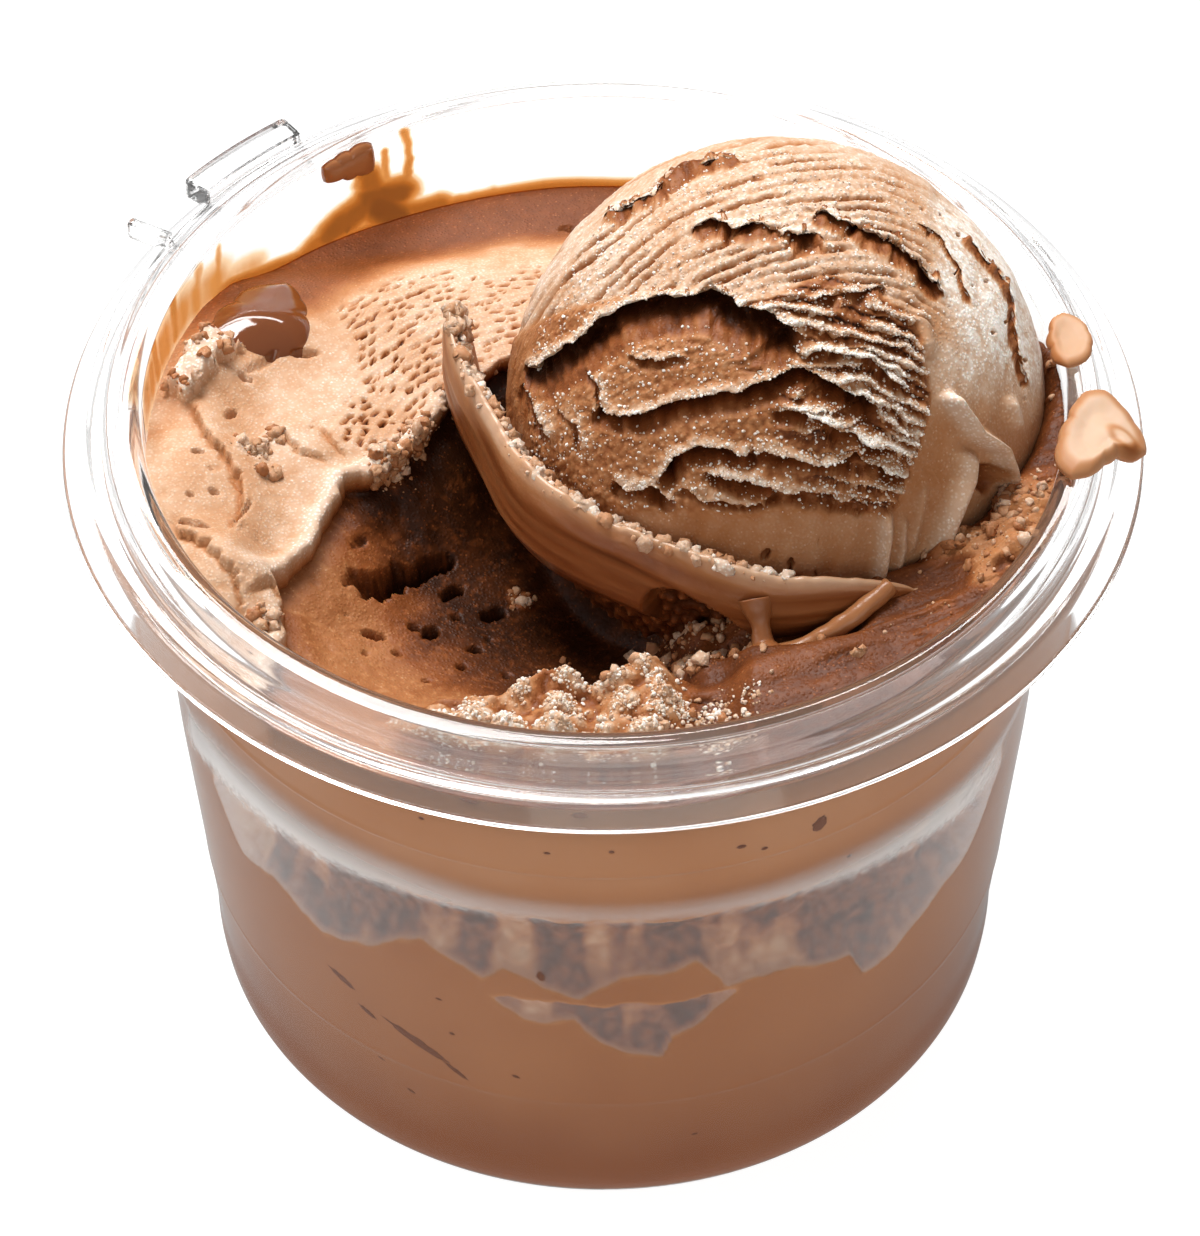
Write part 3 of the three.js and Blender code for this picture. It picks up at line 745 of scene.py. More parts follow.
# Lower edge of the air trapped behind the front wall: azimuth in degrees, height in mm.
POCKET_EDGE = [
    (208, 46), (214, 39), (221, 40.8), (230, 37.2), (237, 39.6), (246, 45.2), (254, 40.6),
    (257, 43.4), (262, 41.0), (267, 39.3), (272, 42.6), (282, 44.8), (286, 39.4), (293, 39.8),
    (304, 36.9), (307, 30.8), (314, 33.4), (321, 37.0), (327, 38.0), (334, 47),
]
LOW_POCKET_EDGE = [
    (255, 38), (259, 34.5), (266, 35.2), (269, 31.8), (273, 28.5), (277.5, 27.8), (279, 31.0),
    (283, 34.0), (287, 38),
]
POCKET_TOP = 53.2
LOW_POCKET_TOP = 38.2
SIDE_COUNT = 800
# Heights in mm of the side's rings of points: close together where the pockets are.
HIGH_LEVELS = [66.0, 60.0]
POCKET_LEVELS = (55.4, 26.5, 84)
LOW_LEVELS = [20.0, 12.0, 7.0, 4.0, 2.6]


def pocket_shape(azimuth, z, here):
    """How deep the ice cream stands back from the wall, and how near a pocket's edge it is."""
    ragged = 0.9 * cloud(here, 3.2, 51, 4)
    crumb = 1.0 - grains(here, 2.3, 52)
    small = cloud(here, 0.9, 53, 2)
    depth = np.zeros_like(z)
    near = np.full(z.shape, 9.0)
    for edge, top, deepest in (
        (POCKET_EDGE, POCKET_TOP, 3.0),
        (LOW_POCKET_EDGE, LOW_POCKET_TOP, 2.4),
    ):
        edge = np.array(edge, dtype=float)
        bottom = np.interp(azimuth, edge[:, 0], edge[:, 1])
        ends = np.minimum(azimuth - edge[0, 0], edge[-1, 0] - azimuth) * 0.8
        inside = np.minimum(np.minimum(z - bottom, top - z), ends) + ragged
        fall = ease(0.0, 0.7, inside) * (0.9 + (deepest - 0.9) * ease(0.3, 4.0, inside))
        depth = np.maximum(depth, fall * (1.0 - 0.35 * crumb * ease(0.5, 2.5, inside)))
        near = np.minimum(near, np.abs(inside))
    rough = ease(0.2, 1.0, depth)
    return depth + rough * 0.35 * small, near, rough


def fill_side():
    angles = np.arange(SIDE_COUNT) * (2 * np.pi / SIDE_COUNT)
    top = edge_height(angles) - 0.7
    levels = np.concatenate([HIGH_LEVELS, np.linspace(*POCKET_LEVELS), LOW_LEVELS])
    rows = np.vstack([top[None, :], np.repeat(levels[:, None], SIDE_COUNT, axis=1)])
    angle = np.broadcast_to(angles, rows.shape).ravel()
    z = rows.ravel()
    radius = inside_radius(z) + REACH_INTO_WALL
    on_wall = around_axis(radius, angle, z)
    azimuth = np.degrees(angle) % 360.0
    depth, near, rough = pocket_shape(azimuth, z, on_wall)
    points = on_wall.copy()
    points[:, :2] *= (1.0 - depth / radius)[:, None]
    faces = ring_faces(len(rows), SIDE_COUNT, flipped=True)
    floor = FLOOR - REACH_INTO_WALL
    caps = [[0.0, 0.0, INSIDE_HEIGHT], [0.0, 0.0, floor]]
    inner = points[:SIDE_COUNT] * np.array([0.95, 0.95, 0.0])
    inner[:, 2] = INSIDE_HEIGHT + 0.5
    foot = points[-SIDE_COUNT:].copy()
    foot[:, :2] *= FOOT_RADIUS / np.hypot(foot[:, 0], foot[:, 1])[:, None]
    foot[:, 2] = floor
    first = len(points)
    points = np.vstack([points, foot, inner, caps])
    last = first - SIDE_COUNT
    within = first + SIDE_COUNT
    middle = within + SIDE_COUNT
    for side in range(SIDE_COUNT):
        after = (side + 1) % SIDE_COUNT
        faces.append((last + side, first + side, first + after, last + after))
        faces.append((side, after, within + after, within + side))
        faces.append((within + side, within + after, middle))
        faces.append((first + after, first + side, middle + 1))
    piece = make_piece("ice_cream_side", points, faces)
    tone = 0.37 + 0.03 * cloud(on_wall, 11.0, 61, 3) + 0.12 * ease(0.5, 0.0, near)
    column = cloud(flat(np.radians(azimuth) * 49.0, 0.18 * z), 4.6, 63, 3)
    lumpy = 1.0 - grains(on_wall, 1.6, 64)
    # The pockets are painted darker than the cream at the wall, as the shade in them, and darker
    # still towards their top; their columns and lumps are lighter.
    pocket = 0.13 + 0.36 * ease(-0.1, 0.45, column) + 0.24 * (lumpy - 0.3)
    pocket = pocket - 0.08 * ease(47.0, 53.0, z)
    tone = mix(tone, pocket, rough)
    # The side is painted lighter towards the top and darker towards the foot, as the light falls
    # from above.
    tone = tone + 0.09 * ease(54.0, 60.0, z) - 0.11 * ease(26.0, 4.0, z)
    set_share(piece, "frost", np.clip(tone, 0.0, 1.0), 0.3)
    return piece


def ice_crystals():
    """Shader group: how much white ice shows on frosted cream, with a few painted glints, and the
    relief of its grains.
    """
    group = bpy.data.node_groups.new("ice_crystals", "ShaderNodeTree")
    for name, way in (("Frost And Shading", "INPUT"), ("Speckled Tone With Painted Glints", "OUTPUT"), ("Relief", "OUTPUT")):
        group.interface.new_socket(name=name, in_out=way, socket_type="NodeSocketFloat")
    frost = wire(group, "NodeGroupInput").outputs["Frost And Shading"]
    place = wire(group, "ShaderNodeTexCoord").outputs["Object"]
    noise = {"Vector": place, "Scale": 700.0, "Detail": 4.0, "Roughness": 0.65}
    speckle = wire(group, "ShaderNodeTexNoise", noise).outputs["Fac"]
    grain = wire(group, "ShaderNodeTexVoronoi", {"Vector": place, "Scale": 2300.0})
    glint = wire(group, "ShaderNodeTexVoronoi", {"Vector": place, "Scale": 3300.0})
    icy = maths(group, "MAXIMUM", maths(group, "MULTIPLY_ADD", frost, 2.2, -0.75), 0.0)
    bead = maths(group, "MULTIPLY_ADD", grain.outputs["Distance"], -2.6, 1.35)
    bead = maths(group, "MAXIMUM", bead, 0.0)
    lift = maths(group, "MULTIPLY", maths(group, "MULTIPLY", bead, icy), 0.16)
    # Painted glints: a few tiny bright dots added to the colour.
    split = wire(group, "ShaderNodeSeparateColor", {"Color": glint.outputs["Color"]})
    chosen = maths(group, "GREATER_THAN", split.outputs["Red"], 0.93)
    dot = maths(group, "LESS_THAN", glint.outputs["Distance"], 0.42)
    spark = maths(group, "MULTIPLY", maths(group, "MULTIPLY", chosen, dot), 0.12)
    total = maths(group, "ADD", frost, maths(group, "MULTIPLY_ADD", speckle, 0.16, -0.08))
    total = maths(group, "ADD", maths(group, "ADD", total, lift), spark)
    high = maths(group, "MULTIPLY_ADD", bead, 0.55, speckle)
    wire(group, "NodeGroupOutput", {"Speckled Tone With Painted Glints": total, "Relief": high})
    return group


def colour_ramp(tree, stops, share):
    """A colour for each share from 0 to 1."""
    ramp = wire(tree, "ShaderNodeValToRGB", {"Fac": share})
    elements = ramp.color_ramp.elements
    while len(elements) < len(stops):
        elements.new(0.5)
    for element, (position, colour) in zip(elements, stops):
        element.position = position
        element.color = (*colour, 1.0)
    return ramp.outputs["Color"]


def ice_cream_material(name, grain_depth, roughness, subsurface, crystals=True, gloss=0.4):
    """Frozen cream: its colour follows how frosted it is and the shade and highlights painted into
    that share, with ice grains as fine relief.
    """
    material, tree, shader = new_material(name)
    share = wire(tree, "ShaderNodeAttribute", attribute_name="frost").outputs["Fac"]
    ice = wire(tree, "ShaderNodeGroup", node_tree=CRYSTALS)
    feed(tree, ice, {"Frost And Shading": share})
    relief = {"Strength": 0.6, "Distance": grain_depth, "Height": ice.outputs["Relief"]}
    source = ice.outputs["Speckled Tone With Painted Glints"] if crystals else share
    inputs = {
        "Base Color": colour_ramp(tree, CREAM_RAMP, source),
        "Roughness": roughness,
        "Subsurface Weight": subsurface,
        "Subsurface Radius": (1.0, 0.45, 0.25),
        "Subsurface Scale": 0.0010,
        "Specular IOR Level": gloss,
        "Normal": wire(tree, "ShaderNodeBump", relief).outputs["Normal"],
    }
    if crystals:
        inputs["Roughness"] = map_range(tree, share, roughness - 0.05, roughness + 0.08, 0.2, 0.55)
    feed(tree, shader, inputs)
    return material


CREAM_RAMP = [
    (0.0, (0.030, 0.008, 0.002)),
    (0.12, (0.11, 0.029, 0.007)),
    (0.25, (0.23, 0.068, 0.018)),
    (0.45, (0.40, 0.165, 0.062)),
    (0.6, (0.50, 0.275, 0.15)),
    (0.7, (0.57, 0.37, 0.245)),
    (0.8, (0.65, 0.475, 0.355)),
    (0.9, (0.77, 0.66, 0.56)),
    (1.0, (0.90, 0.84, 0.77)),
]
CRYSTALS = ice_crystals()
ICE_CREAM = ice_cream_material("ice_cream", 0.00014, 0.5, 0.12, gloss=0.16)
top_skin = fill_top()
finish_piece(top_skin, ICE_CREAM, "ice_cream", "ice_cream_fill")
AT_WALL = ice_cream_material("ice_cream_at_wall", 0.000004, 0.6, 0.0, crystals=False, gloss=0.05)
finish_piece(fill_side(), AT_WALL, "ice_cream", "ice_cream_fill")

# ---------------------------------------------------------------- scooped ball
# The same ice cream, rolled up by a scoop drawn from the left. Layer lay on layer, so the
# face turned up is torn into frosted ribs over clefts painted dark as shade; the back and
# right are smeared smooth against the cup.
SCOOP_TILT = math.radians(46.4)
FACE_GRID = 306
FACE_REACH = math.radians(66.0)
BACK_GRID = 170
BACK_REACH = math.radians(130.0)
BACK_LEAN = math.radians(22.0)
BACK_SINK = 0.35
BACK_FOOT = 66.0

# Clefts between the layers: the run of the upper lip in mm right and up over the face, how
# tall the opening below it is, and how deep.
CLEFTS = [
    ([(-28.3, 3.6), (-25.1, 4.4), (-22.3, 5.9), (-20.6, 7.2), (-19.2, 8.8), (-16.6, 9.8),
      (-13.2, 10.5), (-9.8, 10.4), (-7.7, 11.0), (-5.2, 9.3), (-2.6, 8.2), (-0.5, 7.2),
      (2.0, 5.6)], 4.7, 5.6),
    ([(-28.0, 2.2), (-26.4, -1.0), (-25.0, -4.6)], 1.8, 3.0),
    ([(-10.3, 17.6), (-7.3, 18.9), (-5.2, 18.1), (-2.2, 18.6), (0.1, 17.6)], 1.9, 3.8),
    ([(-0.4, 17.2), (0.6, 17.8), (2.2, 17.4), (3.4, 18.0)], 2.8, 4.6),
    ([(3.6, 20.4), (5.4, 19.6), (7.9, 18.2), (10.9, 16.4), (13.4, 15.0), (16.4, 12.4),
      (17.4, 10.8)], 2.0, 4.2),
    ([(-20.8, -1.4), (-17.5, -1.9), (-14.5, -2.0), (-11.5, -0.8), (-7.7, -0.15), (-4.3, 0.5),
      (-2.6, 1.3), (1.2, 2.8), (3.7, 1.3), (6.7, -0.15), (9.6, -2.2)], 2.6, 4.6),
    ([(-14.2, -9.8), (-12.8, -8.2), (-11.6, -6.4), (-9.4, -5.6), (-6.0, -6.6), (-3.0, -6.8)],
      2.0, 4.0),
    ([(-18.7, -9.0), (-14.5, -10.0), (-11.5, -11.6)], 1.4, 3.0),
    ([(2.4, 9.9), (4.1, 10.4), (7.9, 10.9), (10.5, 11.2)], 1.1, 2.8),
    ([(2.0, 4.9), (5.8, 4.2), (9.2, 2.6), (12.6, 1.2)], 1.1, 2.8),
    ([(-1.8, -1.9), (2.4, -2.4), (5.8, -4.0), (9.2, -5.6), (12.5, -6.4)], 1.3, 3.0),
    ([(-4.3, -5.8), (-1.0, -7.0), (3.3, -7.2), (6.7, -6.4), (9.6, -8.0), (13.0, -8.6)], 1.2,
      2.8),
    ([(-9.0, -8.2), (-1.8, -10.0), (0.7, -10.6), (3.7, -10.4), (8.8, -11.6)], 1.3, 3.0),
    ([(-12.0, -10.0), (-5.6, -11.4), (-2.0, -11.1), (3.5, -11.4), (8.5, -12.4)], 0.9, 2.0),
    ([(-19.4, 20.6), (-15.8, 21.6), (-13.2, 22.6), (-12.4, 24.4), (-7.7, 25.8), (-4.3, 26.6)],
      1.3, 2.6),
    ([(14.7, 19.7), (17.7, 17.2), (19.4, 14.3), (20.4, 9.7)], 0.6, 1.4),
    ([(19.8, 18.0), (23.2, 14.7), (25.3, 10.5), (25.7, 6.3), (27.2, 1.3)], 0.8, 1.8),
    ([(-22.0, 3.6), (-19.8, 1.0), (-19.0, -3.0)], 0.8, 1.8),
    ([(-16.6, 4.6), (-13.8, 3.4), (-10.6, 3.6)], 1.2, 2.4),
    ([(-24.0, -0.4), (-22.4, -3.0), (-21.6, -6.4)], 0.7, 1.6),
]
# Raised folds of the smeared right side: the run over the face, width, height.
FOLDS = [
    ([(13.8, 9.6), (14.6, 6.4), (15.2, 4.2)], 0.95, 1.0),
    ([(16.8, 0.6), (17.9, -1.0), (19.8, -3.6), (22.6, -5.2), (23.6, -7.6), (23.9, -9.6)], 0.7,
      2.7),
    ([(19.6, -5.4), (19.2, -8.6), (17.6, -12.6), (16.0, -16.8), (14.6, -21.2)], 0.8, 2.0),
    ([(24.6, 0.6), (25.5, -3.7)], 0.7, 0.9),
    ([(10.2, -11.6), (10.5, -14.8), (10.1, -18.3), (9.4, -20.0)], 0.75, 1.9),
    ([(12.4, -12.5), (12.6, -16.0), (11.6, -20.0)], 0.6, 0.9),
    ([(14.6, -9.0), (14.4, -13.0), (13.4, -17.0)], 0.5, 0.5),
]
BALL_DENTS = [
    (-2.3, -17.1, 0.75, 0.5, 60, 1.6), (0.55, -17.9, 0.4, 0.7, 0, 1.4),
    (0.5, -19.4, 0.3, 1.2, 0, 0.8), (20.4, -8.4, 0.9, 1.4, -10, 3.0),
    (22.0, -8.6, 1.9, 2.0, 0, 1.3), (3.4, -15.6, 0.12, 0.5, 10, 0.5),
    (3.2, -19.0, 0.12, 0.6, 10, 0.5),
]


def run_profile(u, v, runs):
    """For each of several runs: distance above it, whether within its ends, and its sizes."""
    for line, width, size in runs:
        distance, travelled = line_distance(u, v, line)
        length = sum(math.dist(a, b) for a, b in zip(line, line[1:]))
        ends = ease(-0.2, 1.4, travelled) * ease(length + 0.2, length - 1.4, travelled)
        yield distance, ends, width, size


def sawtooth(phase, drop):
    """Steep over the first share of each step, then a gentle fall; 0 between the steps."""
    step = phase - np.floor(phase)
    return np.where(step < drop, step / drop, (1.0 - step) / (1.0 - drop))


def ball_relief(u, v, here):
    """Relief of the torn face: out and down as ribs, in and up as clefts, with its frost and
    painted shade and highlights.
    """
    rough = cloud(here, 6.0, 101, 3)
    fine = cloud(here, 1.7, 102, 3)
    tooth = cloud(here, 0.8, 103, 2)
    wu = u + 0.6 * rough + 0.35 * fine
    wv = v + 0.7 * rough + 0.45 * fine
    crystal = 1.0 - np.minimum(grains(here, 0.62, 108), 1.0)
    bead = 1.0 - np.minimum(grains(here, 1.25, 109), 1.0)

    edge = 14.4 + 0.5 * rough + 0.5 * fine - 0.02 * (v - 1.0) ** 2
    torn = ease(0.9, -0.5, u - edge) * ease(-13.2, -11.4, v + 0.7 * rough + 0.6 * fine)
    roof = 11.4 - 0.012 * (u + 13.0) ** 2 + 5.6 * ease(-4.0, 6.0, u)
    middle = torn * ease(0.6, -0.8, v - roof)
    crown = ease(-0.8, 0.6, v - roof)
    feathered = ease(-5.0, 2.0, u + 0.5 * v)

    bend = 0.014 + 0.016 * ease(0.0, 8.0, wv)
    phase = (wv + bend * (wu - 1.0) ** 2) / 1.45
    number = np.floor(phase)
    along = np.stack([u * 0.45 + number * 7.3, 0 * u, number * 3.1], axis=1)
    phase = phase + 0.30 * cloud(along, 1.6, 104, 2)
    broken = 0.4 + 0.6 * ease(-0.55, 0.25, cloud(along, 2.6, 105, 2))
    ribs = middle * sawtooth(phase, 0.3) * broken * mix(0.12, 1.45, feathered)

    arc = np.hypot((u - 8.0) * np.where(u > 8.0, 1.5, 1.0), v + 16.5)
    comb_phase = (arc + 0.15 * fine + 0.45 * rough) / 1.22
    comb = np.abs(comb_phase - np.floor(comb_phase) - 0.5)
    groove = ease(0.30, 0.02, comb)
    drift = np.stack([np.arctan2(v + 16.5, u - 8.0) * 14.0, np.floor(comb_phase) * 3.3, 0 * u], 1)
    strong = ease(-0.35, 0.5, cloud(drift, 2.4, 106, 3))
    low_crown = ease(25.0, 12.0, v)
    smoother = ease(20.0, 10.0, u + 2.6 * rough * ease(8.0, 16.0, v))
    combed = crown * smoother * groove * (0.16 + 0.75 * strong * mix(0.5, 1.0, low_crown))

    cut = np.zeros_like(u)
    lipped = np.zeros_like(u)
    for distance, ends, tall, depth in run_profile(wu, wv, CLEFTS):
        opening = ease(0.22, -0.12, distance) * ease(-tall, -0.35 * tall, distance)
        cut = np.maximum(cut, ends * depth * opening)
        above = ends * ease(-0.1, 0.1, distance) * ease(1.8, 0.3, distance)
        lipped = np.maximum(lipped, above * min(1.0, depth / 3.0))
    dents = dent_depth(u, v, BALL_DENTS, 0.3 * fine)
    cells = np.stack([np.round(u / 1.9), np.round(v / 1.5), 0 * u], axis=1).astype(np.int64)
    sparse = (cell_value(cells, 61) > 0.70) * ease(14.5, 16.5, u) * ease(-1.0, 4.0, v)
    sparse = sparse * ease(-0.2, 0.3, rough)
    off_u = u / 1.9 - cells[:, 0] - 0.7 * (cell_value(cells, 62) - 0.5)
    off_v = v / 1.5 - cells[:, 1] - 0.7 * (cell_value(cells, 63) - 0.5)
    wide = 0.10 + 0.14 * cell_value(cells, 64)
    specks = sparse * ease(wide, 0.5 * wide, np.hypot(off_u, off_v))
    dents = dents + 0.7 * specks

    raised = np.zeros_like(u)
    for distance, ends, width, height in run_profile(u + 0.25 * rough, v, FOLDS):
        raised = np.maximum(raised, ends * height * np.exp(-((distance / width) ** 2)))
    smooth = 1.0 - np.maximum(middle, crown * smoother)
    waves = cloud(flat(u - 0.25 * v, (v + 0.3 * u) * 0.25), 3.0, 107, 2)
    out = raised + smooth * 0.30 * waves - combed - dents + 0.5 * lipped + 0.02 * tooth
    rugged = np.maximum(middle, 0.55 * crown * smoother) * ease(2.5, 0.6, cut)
    out = out + rugged * (0.26 * crystal + 0.22 * bead + 0.10 * tooth)
    inside = ease(0.4, 2.0, cut)
    out = out + inside * (0.8 * bead + 0.2 * tooth)

    tip = ribs / 1.45
    frost = 0.50 + 0.05 * rough + 0.05 * waves
    dust = ease(-4.0, 6.0, v) * ease(12.5, 19.5, u + 2.6 * rough)
    frost = frost + smooth * dust * (0.26 + 0.14 * tooth + 0.2 * crystal)
    # The gaps between the ribs are painted darker as shade.
    slab = mix(0.38, 0.22, feathered) + 0.08 * rough + 0.34 * (crystal - 0.4)
    gap = ease(0.16, 0.0, tip) * feathered
    torn_face = slab + 0.52 * ease(0.25, 0.75, tip) - 0.26 * gap
    frost = mix(frost, torn_face, middle)
    # The grooves of the combed crown are painted darker as shade.
    combed_face = 0.66 + 0.3 * (crystal - 0.35) + 0.08 * rough - 0.42 * groove * strong
    frost = mix(frost, combed_face, crown * smoother)
    # Painted highlights on the lip above each cleft and along the raised folds; the pits are
    # painted darker as shade.
    frost = frost + 0.26 * lipped * (1.0 - crown) + 0.1 * lipped
    frost = frost + 0.2 * np.minimum(raised, 1.0) - 0.4 * specks
    # Painted shade: dark brown inside the clefts, and darker in the dents.
    cleft_shade = 0.01 + 0.26 * ease(4.4, 1.6, cut) * (0.5 + bead)
    frost = mix(frost, cleft_shade, ease(0.15, 0.9, cut))
    frost = frost - 0.3 * ease(0.2, 1.0, dents)
    # The face under the rolled lip is painted dark as shade, with paler lumps.
    under_lip = ease(-18.6, -20.4, v + 0.5 * fine) * ease(4.0, 1.0, u)
    frost = mix(frost, 0.04 + 0.4 * bead**2, under_lip)
    out = out + under_lip * (1.2 * bead - 0.6)
    rows = ease(0.40, 0.75, tip) * feathered + 0.6 * lipped + 0.12
    sparkle = np.clip(middle * rows + 0.15 * crown * smoother, 0.0, 1.0) * (1.0 - inside)
    return out, ribs, cut, np.clip(frost, 0.0, 1.0), sparkle


def keep_inside_cup(points, gap):
    limit = inside_radius(np.minimum(points[:, 2], LIP_HEIGHT)) - gap
    reach = np.hypot(points[:, 0], points[:, 1])
    shrink = np.minimum(1.0, limit / reach)
    points[:, 0] *= shrink
    points[:, 1] *= shrink
    return points


FACE_RIGHT = np.array([1.0, 0.0, 0.0])
FACE_UP = np.array([0.0, math.sin(SCOOP_TILT), math.cos(SCOOP_TILT)])
FACE_OUT = np.array([0.0, -math.cos(SCOOP_TILT), math.sin(SCOOP_TILT)])
BALL_MIDDLE = np.array([SCOOP["x"], SCOOP["y"], SCOOP["z"]])


def ball_skin(name, cells, reach, lean, sink):
    """A cap of the ball as one closed skin; the part of it under the finer cap is sunk."""
    unit, faces, rim = disk_grid(cells)
    angle, share = polar(unit)
    away = share * reach
    pole = math.cos(lean) * FACE_OUT + math.sin(lean) * FACE_UP
    north = math.cos(lean) * FACE_UP - math.sin(lean) * FACE_OUT
    way = np.outer(np.sin(away) * np.cos(angle), FACE_RIGHT)
    way += np.outer(np.sin(away) * np.sin(angle), north)
    way += np.outer(np.cos(away), pole)
    facing = way @ FACE_OUT
    u = way @ FACE_RIGHT * SCOOP["radius"]
    v = way @ FACE_UP * SCOOP["radius"] + 18.0 * np.maximum(0.0, -facing)
    out, ribs, cut, frost, sparkle = ball_relief(u, v, way * SCOOP["radius"])
    covered = ease(math.cos(FACE_REACH) + 0.01, math.cos(FACE_REACH) + 0.03, facing)
    radial = SCOOP["radius"] + out + ribs - 0.55 - sink * covered
    points = BALL_MIDDLE + way * radial[:, None]
    points -= np.outer(0.5 * ribs, FACE_UP)
    points -= np.outer(cut, 0.74 * FACE_OUT - 0.5 * FACE_UP)
    points = keep_inside_cup(points, 0.05)
    ring = points[rim] * 0.6 + BALL_MIDDLE * 0.4
    if reach > math.pi / 2:
        ring[:, 2] = np.minimum(ring[:, 2], BACK_FOOT)
    piece = make_piece(name, *close_below(points, faces, rim, [ring]))
    set_share(piece, "frost", frost, 0.3)
    set_share(piece, "crumbs", sparkle)
    finish_piece(piece, ICE_CREAM, "ice_cream", "ice_cream_scoop")
    return piece


scoop_face = ball_skin("scoop_face", FACE_GRID, FACE_REACH, 0.0, 0.0)
ball_skin("scoop_back", BACK_GRID, BACK_REACH, BACK_LEAN, BACK_SINK)

# ---------------------------------------------------------------- rolled lip of the ball
# The skin that the scoop pressed smooth and pushed up in front of it: a thick glossy band
# round the ball's left and front, thin at its wavy upper edge, drawn to a point. The upper
# edge is painted pale as a highlight and the lower part darker as shade.
LIP = {"from": 165.0, "to": 294.0, "radius": 35.0}
LIP_STEPS = 440
LIP_SECTION = [
    (-2.9, 5.6), (-3.6, 2.6), (-5.4, 0.2), (-9.0, -3.0), (-8.0, -9.0), (-4.6, -7.0), (-1.6, -4.0),
    (-0.1, -1.0), (0.0, 2.5), (-0.4, 5.6), (-1.2, 7.6), (-2.3, 8.1),
]
SECTION_POINTS = 110
STRAND_SIDES = 26
# The torn opening under the lip's front: place along it, half length, height, half height, depth.
LIP_OPENING = {"at": 0.685, "long": 0.088, "low": -2.6, "tall": 5.6, "deep": 5.4}


def smooth_loop(corners, count):
    """A closed curve through the middles of the corners' sides, evenly stepped."""
    corners = np.array(corners, dtype=float)
    following = np.roll(corners, -1, axis=0)
    preceding = np.roll(corners, 1, axis=0)
    start = (corners + preceding) / 2
    stop = (corners + following) / 2
    points = []
    for a, b, c in zip(start, corners, stop):
        for step in range(12):
            t = step / 12
            points.append((1 - t) ** 2 * a + 2 * t * (1 - t) * b + t * t * c)
    points = np.array(points + [points[0]])
    walked = np.concatenate([[0.0], np.cumsum(np.linalg.norm(np.diff(points, axis=0), axis=1))])
    wanted = np.linspace(0.0, walked[-1], count, endpoint=False)
    return np.stack([np.interp(wanted, walked, points[:, axis]) for axis in range(2)], axis=1)


